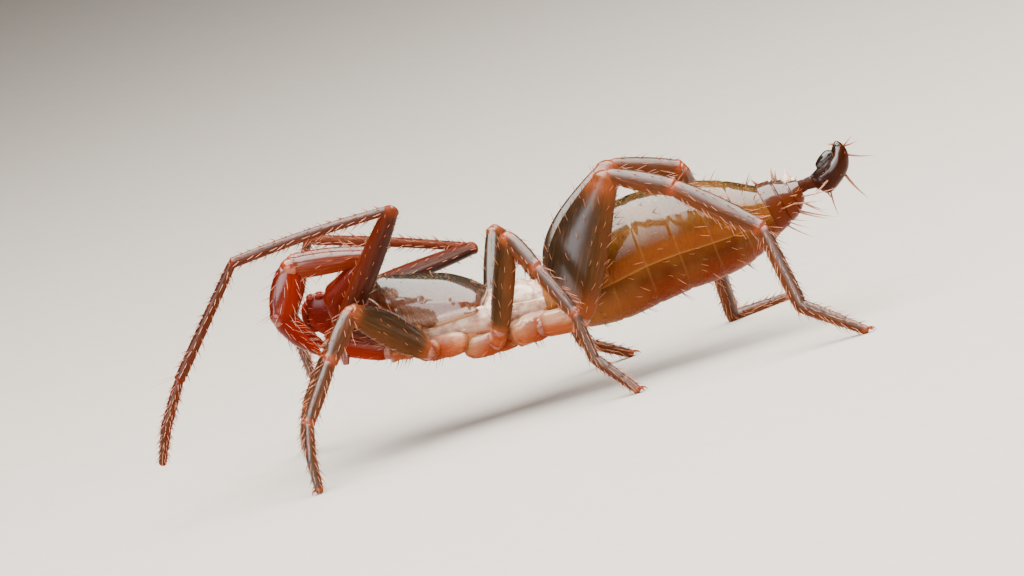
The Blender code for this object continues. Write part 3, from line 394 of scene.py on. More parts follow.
FLAGELLUM_BRISTLES = (
    BodyBristle(1.95, 270, 0.09, 0, 0.008),
    BodyBristle(2.20, 270, 0.26, -15, 0.011),
    BodyBristle(2.40, 185, 0.33, -52, 0.013),
    BodyBristle(2.40, -5, 0.33, -52, 0.013),
    BodyBristle(3.60, 270, 0.31, -12, 0.013),
    BodyBristle(4.95, 270, 0.32, 24, 0.011),
    BodyBristle(5.05, 95, 0.09, -25, 0.013),
    BodyBristle(5.70, 225, 0.16, 34, 0.008),
    BodyBristle(5.70, -70, 0.21, 30, 0.010),
)

# How many fine bristles stand at random places of each body, on each side where it has sides.
FINE_BRISTLES = {"plate": 12, "tail": 46, "flagellum": 34, "shield": 60, "coxa": 16, "jaw": 46}
# Where each coat's chance starts, so that every run plants the same bristles.
SEEDS = {"abdomen": 41, "tail": 43, "flagellum": 47, "prosoma": 53, "jaw": 59, "limb": 100}
BRISTLE_SIDES = 5
# How many points a ring of each body has.
RING_POINTS = {
    "abdomen": 128,
    "tail": 80,
    "flagellum": 56,
    "lobe": 32,
    "coxa": 48,
    "jaw": 48,
    "limb": 32,
    "feeler": 26,
    "ball": 18,
}

Tube = namedtuple("Tube", "grid facts")
Segment = namedtuple("Segment", "distance centre way across upward half_width above below total")


def linear(hex_colour):
    """Turn an sRGB hex colour into the linear colour that a shader takes."""
    parts = [int(hex_colour[index : index + 2], 16) / 255 for index in (1, 3, 5)]
    parts = [part / 12.92 if part <= 0.04045 else ((part + 0.055) / 1.055) ** 2.4 for part in parts]
    return parts + [1.0]


def add(tree, kind, settings, links=None):
    """Add a node to a tree, with its settings and the sockets that its inputs take."""
    node = tree.nodes.new(kind)
    for name, value in settings.items():
        if name == "stops":
            ramp = node.color_ramp
            while len(ramp.elements) < len(value):
                ramp.elements.new(1.0)
            for element, (position, colour) in zip(ramp.elements, value):
                element.position = position
                element.color = linear(colour)
        elif isinstance(name, int) or name in node.inputs:
            node.inputs[name].default_value = value
        else:
            setattr(node, name, value)
    for name, socket in (links or {}).items():
        tree.links.new(socket, node.inputs[name])
    return node


def new_material(name):
    material = bpy.data.materials.new(name)
    material.use_nodes = True
    material.node_tree.nodes.clear()
    return material, material.node_tree


def attribute(tree, name, output="Fac"):
    """A fact that make_piece stored at each point of a mesh."""
    return add(tree, "ShaderNodeAttribute", {"attribute_name": name}).outputs[output]


def clouds_of(tree, vector, scale, detail, roughness=0.5):
    settings = {"Scale": scale, "Detail": detail, "Roughness": roughness}
    return add(tree, "ShaderNodeTexNoise", settings, {"Vector": vector}).outputs["Fac"]


def stretched(tree, vector, factors):
    settings = {"operation": "MULTIPLY", 1: factors}
    return add(tree, "ShaderNodeVectorMath", settings, {0: vector}).outputs[0]


def calculated(tree, operation, *values):
    """The result of one operation on numbers and sockets."""
    numbers = {index: value for index, value in enumerate(values) if isinstance(value, float)}
    links = {index: value for index, value in enumerate(values) if index not in numbers}
    return add(tree, "ShaderNodeMath", {"operation": operation, **numbers}, links).outputs[0]


def ranged(tree, value, low, high, most=1.0):
    """None below the low value, and rising evenly to the most at the high one."""
    settings = {"From Min": low, "From Max": high, "To Max": most}
    return add(tree, "ShaderNodeMapRange", settings, {"Value": value}).outputs[0]


def ramped(tree, value, stops):
    return add(tree, "ShaderNodeValToRGB", {"stops": stops}, {"Fac": value}).outputs["Color"]


def painted(tree, under, colour, share):
    """A colour over another one, as thick as its share says."""
    links = {"Fac": share, "Color1": under}
    return add(tree, "ShaderNodeMixRGB", {"Color2": linear(colour)}, links).outputs["Color"]


def bumped(tree, height, strength, distance, normal=None):
    """A relief, over another one where a normal is given."""
    links = {"Height": height}
    if normal:
        links["Normal"] = normal
    settings = {"Strength": strength, "Distance": distance}
    return add(tree, "ShaderNodeBump", settings, links).outputs["Normal"]


# What the chitins share: how light bends in them and in their wax, and how deep it goes.
CHITIN = {
    "IOR": 1.56,
    "Specular IOR Level": 0.06,
    "Subsurface Scale": 0.00008,
    "Coat IOR": 1.6,
}


def finish_shader(tree, settings, links):
    shader = add(tree, "ShaderNodeBsdfPrincipled", settings, links)
    add(tree, "ShaderNodeOutputMaterial", {}, {"Surface": shader.outputs["BSDF"]})


def limb_cuticle(name, stops, joint_colour, streak_colour, roughness, glow, wax, gloss=0.15):
    """Tanned chitin of a limb, grown, not worked: a waxy gloss over colour that lies deep.

    Thin places let light through, so they look redder, and faint streaks run lengthwise. The ramp also
    paints light by which way a face turns: most limbs lighter and redder towards the underside, as light
    shining through, and the coxae paler on top, as lit from above.
    Wax says from which to which level upwards its coat thickens, and gloss how rough it is.
    """
    material, tree = new_material(name)
    up = attribute(tree, "up")
    joint = attribute(tree, "joint")
    local = attribute(tree, "local", "Vector")
    # Streaks about 0.02 mm wide and 0.3 mm long.
    streaks = clouds_of(tree, stretched(tree, local, (3.0, 45.0, 45.0)), 1.0, 3.0, 0.6)
    # Soft clouds about 0.2 mm across.
    clouds = clouds_of(tree, local, 5.0, 3.0)
    # Painted light and shade: the ramp colours each face by how far it turns up, from the underside to
    # the top.
    painted_light_level = calculated(tree, "MULTIPLY_ADD", up, 0.5, 0.5)
    cloudy = calculated(tree, "MULTIPLY_ADD", clouds, 0.30, -0.15)
    body = ramped(tree, calculated(tree, "ADD", painted_light_level, cloudy), stops)
    streaked = painted(tree, body, streak_colour, ranged(tree, streaks, 0.50, 0.72, 0.55))
    coloured = painted(tree, streaked, joint_colour, joint)
    # Scales of the skin about 0.02 mm long, lying along the limb.
    place = stretched(tree, local, (55.0, 90.0, 90.0))
    scales = add(tree, "ShaderNodeTexVoronoi", {"Scale": 1.0}, {"Vector": place})
    relief = calculated(tree, "MULTIPLY_ADD", scales.outputs["Distance"], 0.35, streaks)
    bump = bumped(tree, relief, 0.35, 4e-6)
    rough = add(
        tree,
        "ShaderNodeMapRange",
        {"To Min": roughness - 0.08, "To Max": roughness + 0.12},
        {"Value": streaks},
    )
    finish_shader(
        tree,
        {
            **CHITIN,
            "Subsurface Weight": glow,
            "Subsurface Radius": (1.0, 0.20, 0.05),
            "Coat Roughness": gloss,
            "Coat IOR": 1.56,
        },
        {
            "Base Color": coloured,
            "Roughness": rough.outputs[0],
            "Normal": bump,
            "Coat Weight": ranged(tree, up, *wax),
        },
    )
    return material


def shield_cuticle():
    """Thick tanned chitin of the shield, waxy and finely shagreened, painted dark along its back as a
    dark reflection.
    """
    material, tree = new_material("tanned_chitin_shield")
    up = attribute(tree, "up")
    edge = attribute(tree, "edge")
    local = attribute(tree, "local", "Vector")
    clouds = clouds_of(tree, local, 9.0, 6.0, 0.65)
    cloudy = calculated(tree, "MULTIPLY_ADD", clouds, 0.36, -0.18)
    # Painted dark reflection: the colour darkens upwards to near black along the back.
    body = ramped(
        tree,
        calculated(tree, "ADD", up, cloudy),
        (
            (0.0, "#5A2606"),
            (0.25, "#522202"),
            (0.55, "#42200A"),
            (0.80, "#2C1A0A"),
            (0.93, "#140E04"),
            (1.0, "#100B03"),
        ),
    )
    # Painted glints: gold specks about 0.02 mm across where the back is painted darkest.
    fine = clouds_of(tree, local, 45.0, 2.0)
    glint_speck = ranged(tree, fine, 0.58, 0.68, 0.6)
    high = ranged(tree, up, 0.86, 0.95)
    glint_speckled = painted(tree, body, "#9A7434", calculated(tree, "MULTIPLY", high, glint_speck))
    rimmed = painted(tree, glint_speckled, "#A87E5A", edge)
    # Where a muscle holds on inside, or the wax is worn off, the chitin is brown and dull.
    # Clouds and specks fray the edge of such a spot.
    scar = attribute(tree, "joint")
    ragged = calculated(tree, "MULTIPLY_ADD", calculated(tree, "ADD", clouds, fine), -0.5, scar)
    spot = ranged(tree, ragged, -0.04, 0.10)
    scarred = painted(tree, rimmed, "#4E2C14", spot)
    spared = calculated(tree, "MULTIPLY_ADD", spot, -0.90, 1.0)
    wax = calculated(tree, "MULTIPLY", ranged(tree, up, -0.30, 0.10), spared)
    # Shagreen in upright streaks about 0.02 mm apart, which frays the edge of a reflection.
    grain = clouds_of(tree, stretched(tree, local, (46.0, 24.0, 15.0)), 1.0, 3.0)
    bump = bumped(tree, grain, 0.9, 2.4e-5)
    wavy = bumped(tree, clouds, 0.45, 3e-5, bump)
    finish_shader(
        tree,
        {
            **CHITIN,
            "Specular IOR Level": 0.15,
            "Roughness": 0.36,
            "Subsurface Weight": 0.2,
            "Subsurface Radius": (1.0, 0.25, 0.06),
            "Coat Roughness": 0.11,
        },
        {"Base Color": scarred, "Normal": wavy, "Coat Weight": wax},
    )
    return material


def abdomen_cuticle():
    """Thin tanned chitin of the abdomen, waxy, with amber showing through from inside, painted dark along
    its back as a dark reflection.
    """
    material, tree = new_material("tanned_chitin_abdomen")
    up = attribute(tree, "up")
    front = attribute(tree, "joint")
    edge = attribute(tree, "edge")
    local = attribute(tree, "local", "Vector")
    clouds = clouds_of(tree, local, 3.5, 5.0, 0.6)
    cloudy = calculated(tree, "MULTIPLY_ADD", clouds, 0.10, -0.05)
    # Painted reflection: from belly to back, a slightly paler band is painted as reflection haze below
    # the back, which is painted near black as a dark reflection.
    body = ramped(
        tree,
        calculated(tree, "ADD", up, cloudy),
        (
            (0.0, "#6C2400"),
            (0.16, "#602200"),
            (0.30, "#4A1E00"),
            (0.385, "#562A04"),
            (0.41, "#72390E"),
            (0.50, "#6C340C"),
            (0.60, "#562C08"),
            (0.72, "#5E3A12"),
            (0.78, "#482A0A"),
            (0.87, "#241A06"),
            (1.0, "#0E0A02"),
        ),
    )
    # The soft fold between back and belly is a fine pale line.
    fold = ramped(
        tree,
        up,
        (
            (0.388, "#000000"),
            (0.394, "#E0E0E0"),
            (0.398, "#404040"),
            (0.402, "#A0A0A0"),
            (0.408, "#000000"),
        ),
    )
    folded = painted(tree, body, "#A87038", fold)
    # Paler patches about 0.3 mm across, where fat shows through.
    patches = clouds_of(tree, local, 2.2, 2.0)
    patched = painted(tree, folded, "#7E5426", ranged(tree, patches, 0.48, 0.70, 0.45))
    # Painted glints: gold specks about 0.02 mm across along the back.
    fine = clouds_of(tree, local, 40.0, 2.0)
    high = ranged(tree, up, 0.80, 0.92)
    glint_speck = ranged(tree, fine, 0.60, 0.68, 0.6)
    glint_speckled = painted(tree, patched, "#A07C3A", calculated(tree, "MULTIPLY", high, glint_speck))
    bordered = painted(tree, glint_speckled, "#A8743E", edge)
    fronted = painted(tree, bordered, "#965E2E", front)
    # Cross wrinkles about 0.02 mm apart, which fray the edge of a reflection.
    wrinkles = clouds_of(tree, stretched(tree, local, (44.0, 14.0, 14.0)), 1.0, 4.0)
    bump = bumped(tree, wrinkles, 0.9, 2.2e-5)
    wavy = bumped(tree, clouds, 0.3, 3e-5, bump)
    finish_shader(
        tree,
        {
            **CHITIN,
            "Roughness": 0.36,
            "Subsurface Weight": 0.25,
            "Subsurface Radius": (1.0, 0.22, 0.05),
            "Subsurface Scale": 0.0001,
            "Coat Roughness": 0.10,
        },
        {"Base Color": fronted, "Normal": wavy, "Coat Weight": ranged(tree, up, 0.55, 0.80)},
    )
    return material


def hard_cuticle(name, stops, roughness, coat_roughness):
    """Hard dark chitin of claws, tail and flagellum, smooth as lacquer, red in thin places, and painted
    redder towards the underside as light shining through.
    """
    material, tree = new_material(name)
    up = attribute(tree, "up")
    local = attribute(tree, "local", "Vector")
    clouds = clouds_of(tree, local, 14.0, 4.0)
    # Painted light: the colour follows which way a face turns, redder towards the underside as light
    # shining through.
    painted_light_level = calculated(tree, "MULTIPLY_ADD", up, 0.5, 0.35)
    cloudy = calculated(tree, "MULTIPLY", clouds, 0.3)
    body = ramped(tree, calculated(tree, "ADD", painted_light_level, cloudy), stops)
    # Pits about 0.02 mm across, from which the fine hairs stand.
    pits = add(tree, "ShaderNodeTexVoronoi", {"Scale": 26.0}, {"Vector": local})
    bump = bumped(tree, ranged(tree, pits.outputs["Distance"], 0.0, 0.22), 0.5, 5e-6)
    wavy = bumped(tree, clouds, 0.25, 1e-5, bump)
    finish_shader(
        tree,
        {
            **CHITIN,
            "Roughness": roughness,
            "Subsurface Weight": 0.2,
            "Subsurface Radius": (1.0, 0.25, 0.1),
            "Coat Roughness": coat_roughness,
        },
        {"Base Color": body, "Normal": wavy, "Coat Weight": ranged(tree, up, 0.10, 0.45)},
    )
    return material


def joint_skin(name, deep, pale, low, glow):
    """Soft untanned skin, wet and wrinkled: of the joints, or of the waist between the shields.

    Low is its colour on the underside, where the animal's inside shows through. Deep is painted shade in
    the hollows of the folds, and pale is on their crests.
    """
    material, tree = new_material(name)
    down = attribute(tree, "joint")
    local = attribute(tree, "local", "Vector")
    folds = clouds_of(tree, local, 12.0, 3.0)
    # Painted shade: the hollows of the folds take the deep colour, the crests the pale one.
    body = ramped(tree, folds, ((0.30, deep), (0.62, pale)))
    shaded = painted(tree, body, low, down)
    bump = bumped(tree, folds, 0.8, 3e-5)
    finish_shader(
        tree,
        {
            "IOR": 1.45,
            "Specular IOR Level": 0.3,
            "Roughness": 0.32,
            "Subsurface Weight": glow,
            "Subsurface Radius": (1.0, 0.40, 0.2),
            "Subsurface Scale": 0.00012,
            "Coat Weight": 1.0,
            "Coat Roughness": 0.06,
            "Coat IOR": 1.5,
        },
        {"Base Color": shaded, "Normal": bump},
    )
    return material


def bristle_chitin():
    """Chitin bristles, grown solid: orange at the root, clear and pale towards the tip."""
    material, tree = new_material("chitin_bristle")
    stops = ((0.0, "#6E2E12"), (0.35, "#944A24"), (0.75, "#B87450"), (1.0, "#D0A080"))
    colour = ramped(tree, attribute(tree, "tip"), stops)
    finish_shader(
        tree,
        {
            "IOR": 1.56,
            "Roughness": 0.35,
            "Subsurface Weight": 0.3,
            "Subsurface Radius": (1.0, 0.5, 0.3),
            "Subsurface Scale": 0.00002,
            "Coat Weight": 0.5,
            "Coat Roughness": 0.15,
        },
        {"Base Color": colour},
    )
    return material


def studio_paper():
    """Matt paper under the animal."""
    material, tree = new_material("matt_paper")
    coordinates = add(tree, "ShaderNodeTexCoord", {})
    # Fibres of the paper about 0.3 mm apart.
    fibres = clouds_of(tree, coordinates.outputs["Object"], 3000.0, 3.0)
    colour = ramped(tree, fibres, ((0.0, "#B5B0A9"), (1.0, "#BDB8B1")))
    finish_shader(tree, {"Roughness": 0.9, "Specular IOR Level": 0.2}, {"Base Color": colour})
    return material


def normalised(vectors):
    return vectors / np.maximum(np.linalg.norm(vectors, axis=-1, keepdims=True), 1e-12)


def smooth_step(values):
    values = np.clip(values, 0.0, 1.0)
    return values * values * (3 - 2 * values)


def bell(values, centre, width):
    return np.exp(-(((values - centre) / width) ** 2))


def rows_at(rows, places):
    """Read a smooth curve through rows at many places, as one column for each field."""
    table = np.array(rows)
    places = np.asarray(places, float)
    index = np.clip(places.astype(int), 0, len(table) - 2)
    t = (places - index)[:, None]
    before = table[np.maximum(index - 1, 0)]
    start = table[index]
    end = table[index + 1]
    after = table[np.minimum(index + 2, len(table) - 1)]
    square = t * t
    cube = square * t
    values = (2 * cube - 3 * square + 1) * start + (3 * square - 2 * cube) * end
    values += (cube - 2 * square + t) * (end - before) / 2 + (cube - square) * (after - start) / 2
    return values.T


def mirrored(point, side):
    """Take a point given for the left side to a side."""
    return Vector((point[0], -side * point[1], point[2]))


def new_object(name, data):
    thing = bpy.data.objects.new(name, data)
    bpy.context.scene.collection.objects.link(thing)
    return thing


def new_piece(name, mesh, material):
    mesh.shade_smooth()
    mesh.materials.append(material)
    piece = new_object(name, mesh)
    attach(piece, "root")
    return piece


def make_piece(name, tubes, material, nodes=()):
    """Make one smooth closed piece of tubes. Each tube is a grid of rings of points."""
    points = []
    faces = []
    facts = {"up": [], "joint": [], "edge": [], "local": []}
    start = 0
    for tube in tubes:
        rings, sides, _ = tube.grid.shape
        ends = np.stack((tube.grid[0].mean(axis=0), tube.grid[-1].mean(axis=0)))
        points.append(tube.grid.reshape(-1, 3))
        points.append(ends)
        ring = np.arange(rings - 1)[:, None] * sides + start
        side = np.arange(sides)[None, :]
        after = (side + 1) % sides
        corners = (ring + side, ring + after, ring + sides + after, ring + sides + side)
        faces += np.stack(corners, axis=-1).reshape(-1, 4).tolist()
        first = start + rings * sides
        last = first - sides
        for index in range(sides):
            turned = (index + 1) % sides
            faces.append((first, start + turned, start + index))
            faces.append((first + 1, last + index, last + turned))
        for key, values in facts.items():
            width = 3 if key == "local" else 1
            given = np.asarray(tube.facts.get(key, 0.0), float)
            if key == "local" and key not in tube.facts:
                given = tube.grid
            shape = (rings, sides, 3) if width == 3 else (rings, sides)
            given = np.broadcast_to(given, shape).reshape(rings * sides, width)
            values.append(given)
            values.append(given[:1])
            values.append(given[-1:])
        start += rings * sides + 2
    mesh = bpy.data.meshes.new(name)
    mesh.from_pydata(((np.concatenate(points) - SPAN_MIDDLE) * MM).tolist(), [], faces)
    for key, values in facts.items():
        kind = "FLOAT_VECTOR" if key == "local" else "FLOAT"
        layer = mesh.attributes.new(key, kind, "POINT")
        field = "vector" if key == "local" else "value"
        layer.data.foreach_set(field, np.concatenate(values).astype(np.float32).ravel())
    piece = new_piece(name, mesh, material)
    if nodes:
        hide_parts(*nodes)


def circle(count):
    return np.arange(count) * (2 * math.pi / count)


def ring_frames(rows, places):
    """Centres, upward directions, half depths and half widths at places of a ringed body."""
    top_x, top_z, belly_x, belly_z, half_width = rows_at(rows, places)
    zero = np.zeros_like(top_x)
    top = np.stack((top_x, zero, top_z), axis=-1)
    belly = np.stack((belly_x, zero, belly_z), axis=-1)
    upward = (top - belly) / 2
    depth = np.linalg.norm(upward, axis=-1)
    return (top + belly) / 2, upward / depth[:, None], depth, half_width


def ring_grid(rows, places, angles, lift):
    """Rings of points of a body, where lift moves each point out from the section."""
    centre, upward, depth, half_width = ring_frames(rows, places)
    across = np.array((0.0, 1.0, 0.0))
    wide = np.cos(angles)[None, :, None] * across
    high = np.sin(angles)[None, :, None] * upward[:, None, :]
    lift = np.broadcast_to(lift, (len(places), len(angles)))[..., None]
    wide = wide * (half_width[:, None, None] + lift)
    high = high * (depth[:, None, None] + lift)
    return centre[:, None, :] + wide + high


def plate_lift(places, count):
    """How far each place of a plated body stands off its plate's level, and how near a border."""
    share = places - np.floor(places)
    share[places >= count] = 1.0
    lift = -PLATE_STEP * (1 - smooth_step(share / 0.16))
    lift -= 0.010 * smooth_step((share - 0.93) / 0.07)
    border = bell(share, 0.0, 0.030) + bell(share, 1.0, 0.018)
    return lift, np.clip(border, 0.0, 1.0)


def build_abdomen(finish):
    plates = len(ABDOMEN_ROWS) - 1
    places = np.linspace(0.0, plates, plates * 30 + 1)
    angles = circle(RING_POINTS["abdomen"])
    lift, border = plate_lift(places, plates)
    lift = lift[:, None] * np.ones((1, len(angles)))
    fold = np.radians(FOLD_ANGLE)
    beside = np.minimum(np.abs(angles - (2 * math.pi + fold)), np.abs(angles - (math.pi - fold)))
    near_fold = bell(beside, 0.0, 0.10)
    lift = lift - 0.018 * near_fold[None, :] + 0.006 * bell(beside, 0.22, 0.10)[None, :]
    # Each plate is pulled in a little where a muscle runs from back to belly.
    share = (places - np.floor(places))[:, None]
    dent = bell(share, 0.45, 0.12) * bell(np.abs(np.sin(angles)), 0.52, 0.12)[None, :]
    lift = lift - 0.003 * dent
    rounding = np.minimum(smooth_step(places / 0.10), smooth_step((plates - places) / 0.05 + 0.4))
    lift = lift - 0.05 * (1 - rounding)[:, None]
    grid = ring_grid(ABDOMEN_ROWS, places, angles, lift)
    up = (np.sin(angles)[None, :] + 1) / 2 * np.ones((len(places), 1))
    edge = 0.15 * border[:, None] * smooth_step((0.95 - up) / 0.2) * smooth_step((up - 0.02) / 0.2)
    # The belly is pale for longer than the back.
    front = 1 - smooth_step((places[:, None] - 0.25) / (1.3 + 1.9 * smooth_step((0.5 - up) / 0.3)))
    tube = Tube(grid, {"up": up, "edge": edge, "joint": 0.85 * front})
    make_piece("abdomen_skin", [tube], finish["abdomen"], ["abdomen"])


def build_tail(finish):
    rings = len(TAIL_ROWS) - 1
    places = np.linspace(0.0, rings, rings * 34 + 1)
    angles = circle(RING_POINTS["tail"])
    lift, border = plate_lift(places, rings)
    lift = lift * 2.2 - 0.03 * (1 - smooth_step(places / 0.2))
    lift = lift - 0.05 * smooth_step((places - rings + 0.1) / 0.1)
    grid = ring_grid(TAIL_ROWS, places, angles, lift[:, None])
    up = np.sin(angles)[None, :] * np.ones((len(places), 1))
    tubes = [Tube(grid, {"up": up, "edge": border[:, None]})]
    make_piece("tail_rings_skin", tubes, finish["tail"], ["tail_rings"])
    # The horn stands on a broad foot, with a flange behind it and crumpled skin beside it.
    pale = [
        spike_tube(HORN_POINTS, HORN_RADII, 20, {"up": 0.8}),
        spike_tube(FLANGE_POINTS, FLANGE_RADII, 16, {"up": 0.6}),
    ]
    for side in (LEFT, RIGHT):
        fold = ball_tube((3.262, side * 0.085, 1.365), 0.080, {"up": 0.5}, (0.95, 0.75, 0.62))
        pale.append(fold._replace(grid=wrinkled(fold.grid, (0.04, 0.06, 0.03), 0.016, 4.0)))
    make_piece("tail_horn", pale, finish["waist"])


def build_flagellum(finish):
    last = len(FLAGELLUM_ROWS) - 1
    eased = np.linspace(0.0, 1.0, 100)
    places = last * (eased + 0.10 * np.sin(2 * math.pi * eased) / (2 * math.pi) * -1)
    angles = circle(RING_POINTS["flagellum"])
    lift = -0.02 * (1 - smooth_step((last - places) / 0.35))
    lift -= 0.006 * bell(places, 0.55, 0.08) + 0.005 * bell(places, 1.05, 0.07)
    # A groove sets the lobe of the back off from the bulb on each side.
    above = np.clip(np.sin(angles), 0, 1)[None, :]
    groove = bell(above, 0.80, 0.10) * bell(places, 3.3, 0.9)[:, None]
    grid = ring_grid(FLAGELLUM_ROWS, places, angles, lift[:, None] - 0.012 * groove)
    # The stalk is given a low up fact, so it is painted redder as light shining through, and has less
    # wax.
    up = np.sin(angles)[None, :] - 1.2 * (1 - smooth_step((places - 0.5) / 1.0))[:, None]
    tubes = [Tube(grid, {"up": up})]
    places = np.linspace(0.0, len(FLAGELLUM_LOBE_ROWS) - 1, 40)
    lobe_lift = -0.03 * (1 - smooth_step(np.minimum(places, 3 - places) / 0.35))
    angles = circle(RING_POINTS["lobe"])
    lobe = ring_grid(FLAGELLUM_LOBE_ROWS, places, angles, lobe_lift[:, None])
    tubes.append(Tube(lobe, {"up": 1.0}))
    for side in (LEFT, RIGHT):
        for x, z, radius in FLAGELLUM_LUMPS:
            tubes.append(ball_tube((x, side * FLAGELLUM_LUMP_OFFSET, z), radius, {"up": 0.7}))
    make_piece("flagellum_skin", tubes, finish["flagellum"], ["flagellum"])


def arch_grid(rows, places, angles, lift):
    """Rows of points over an arched body, each from its right side edge to its left one."""
    x, edge, top, half_width = rows_at(rows, places)
    wide = (half_width[:, None] + lift) * np.cos(angles)[None, :]
    high = ((top - edge)[:, None] + lift) * np.sin(angles)[None, :] ** ARCH_FULLNESS
    along = np.broadcast_to(x[:, None], wide.shape)
    return np.stack((along, wide, edge[:, None] + high), axis=-1)


def build_shield(finish):
    places = np.linspace(0.0, len(SHIELD_ROWS) - 1, 150)
    over = np.linspace(0.0, math.pi, 90)
    low = np.minimum(over, math.pi - over)[None, :]
    lift = 0.010 * bell(low, 0.06, 0.05) - 0.006 * bell(low, 0.20, 0.07)
    lift = lift * np.ones((len(places), 1))
    # The hind border is rolled up, with a fine groove before it.
    hind = (len(SHIELD_ROWS) - 1 - places)[:, None]
    lift = lift + 0.008 * bell(hind, 0.12, 0.12) - 0.007 * bell(hind, 0.50, 0.14)
    lift = lift - 0.03 * (1 - smooth_step(hind / 0.06)) - 0.02 * (1 - smooth_step(places[:, None] / 0.12))
    outer = arch_grid(SHIELD_ROWS, places, over, lift)
    outer[..., 1] *= 1 + SHIELD_FLARE * (1 - np.sin(over)[None, :])
    leaning = smooth_step((places[:, None] - 4.6) / 3.2) * (1 - np.sin(over)[None, :] ** ARCH_FULLNESS)
    outer[..., 0] -= SHIELD_SLANT * leaning
    dull = np.zeros(outer.shape[:2])
    for pit in SHIELD_PITS:
        away = (outer[..., 0] - pit.x) ** 2 + (outer[..., 2] - pit.z) ** 2
        near = np.exp(-away / pit.radius**2)
        dull = np.minimum(dull + near, 1.0)
        depth = PIT_DEPTH_SHARE * pit.depth * near
        outer[..., 1] -= np.sign(outer[..., 1]) * depth
        outer[..., 2] -= depth * 0.5
    inner = outer[:, ::-1, :].copy()
    middle = outer.mean(axis=1, keepdims=True)
    inner = middle + (inner - middle) * np.array((1.0, 0.93, 0.90))
    grid = np.concatenate((outer, inner), axis=1)
    height = np.sin(over)[None, :] * np.ones((len(places), 1))
    up = np.concatenate((height, height), axis=1)
    border = np.maximum(bell(low, 0.0, 0.06), bell(hind, 0.0, 0.10))
    border = np.concatenate((border, border), axis=1)
    dull = np.concatenate((dull, dull), axis=1)
    facts = {"up": up[:, ::-1], "edge": 0.8 * border[:, ::-1], "joint": dull[:, ::-1]}
    tube = Tube(grid[:, ::-1, :], facts)
    make_piece("shield_skin", [tube], finish["shield"], ["propeltidium"])


def wrinkled(grid, size, depth, seed):
    """Push the points of a grid in and out in folds, given their size along X, Y and Z."""
    middle = grid.mean(axis=1, keepdims=True)
    away = normalised(grid - middle)
    moved = grid.copy()
    for ring in range(grid.shape[0]):
        for side in range(grid.shape[1]):
            spot = Vector(grid[ring, side] / np.array(size)) + Vector((seed, 0.0, 0.0))
            fold = noise.fractal(spot, 1.0, 2.0, 3)
            moved[ring, side] += away[ring, side] * fold * depth
    return moved


def build_waist(finish):
    """The wet folded skin between shield and abdomen, with the two hind shield plates in it."""
    places = np.linspace(0.0, len(WAIST_ROWS) - 1, 110)
    over = np.linspace(0.0, math.pi, 90)
    outer = arch_grid(WAIST_ROWS, places, over, np.zeros((1, 1)))
    outer[..., 1] *= 1 + 0.045 * np.sin(places * 2 * math.pi * 1.3)[:, None]
    outer = wrinkled(outer, (0.07, 0.2, 0.10), 0.032, 3.0)
    inner = outer[:, ::-1, :].copy()
    inner[..., 2] = outer[..., 2].min() - 0.01
    inner[..., 1] *= 0.96
    grid = np.concatenate((outer, inner), axis=1)[:, ::-1, :]
    make_piece("waist_skin", [Tube(grid, {})], finish["waist"], ["metapeltidium"])
    plates = []
    for side in (LEFT, RIGHT):
        angles = np.linspace(0.18, 1.25, 26)
        if side == LEFT:
            angles = math.pi - angles
        spots = np.linspace(1.55, 3.65, 34)
        face = arch_grid(WAIST_ROWS, spots, angles, np.zeros((1, 1)))
        middle = face.mean(axis=(0, 1))
        along = np.linspace(-1, 1, len(spots))[:, None]
        aside = np.linspace(-1, 1, len(angles))[None, :]
        squeeze = 0.25 + 0.75 * np.sqrt(np.clip(1 - along**2, 0, 1))
        centre_line = face.mean(axis=1, keepdims=True)
        face = centre_line + (face - centre_line) * squeeze[..., None]
        thick = 0.008 * np.sqrt(np.clip(1 - along**4, 0, 1)) * np.sqrt(np.clip(1 - aside**4, 0, 1))
        away = normalised(face - np.array((middle[0], 0.0, 0.95)))
        upper = face + away * (0.006 + thick)[..., None]
        lower = (face - away * 0.02)[:, ::-1, :]
        grid = np.concatenate((upper, lower), axis=1)
        plates.append(Tube(grid if side == LEFT else grid[:, ::-1, :], {"up": 0.5}))
    make_piece("hind_shield_plates", plates, finish["waist"])


def coxa_frame(name, side):
    """A coxa's start and end, its direction, and the ones across it and upwards."""
    start = np.array(mirrored(COXA_HEARTS[name], side))
    end = np.array(mirrored(LIMB_ROOTS[name], side))
    way = (end - start) / np.linalg.norm(end - start)
    upward = normalised(np.cross(way, np.cross((0.0, 0.0, 1.0), way)))
    return start, end, way, np.cross(upward, way), upward


def powered(values):
    """Values raised to the power of a coxa's fullness, each with its own sign."""
    return np.sign(values) * np.abs(values) ** COXA_FULLNESS


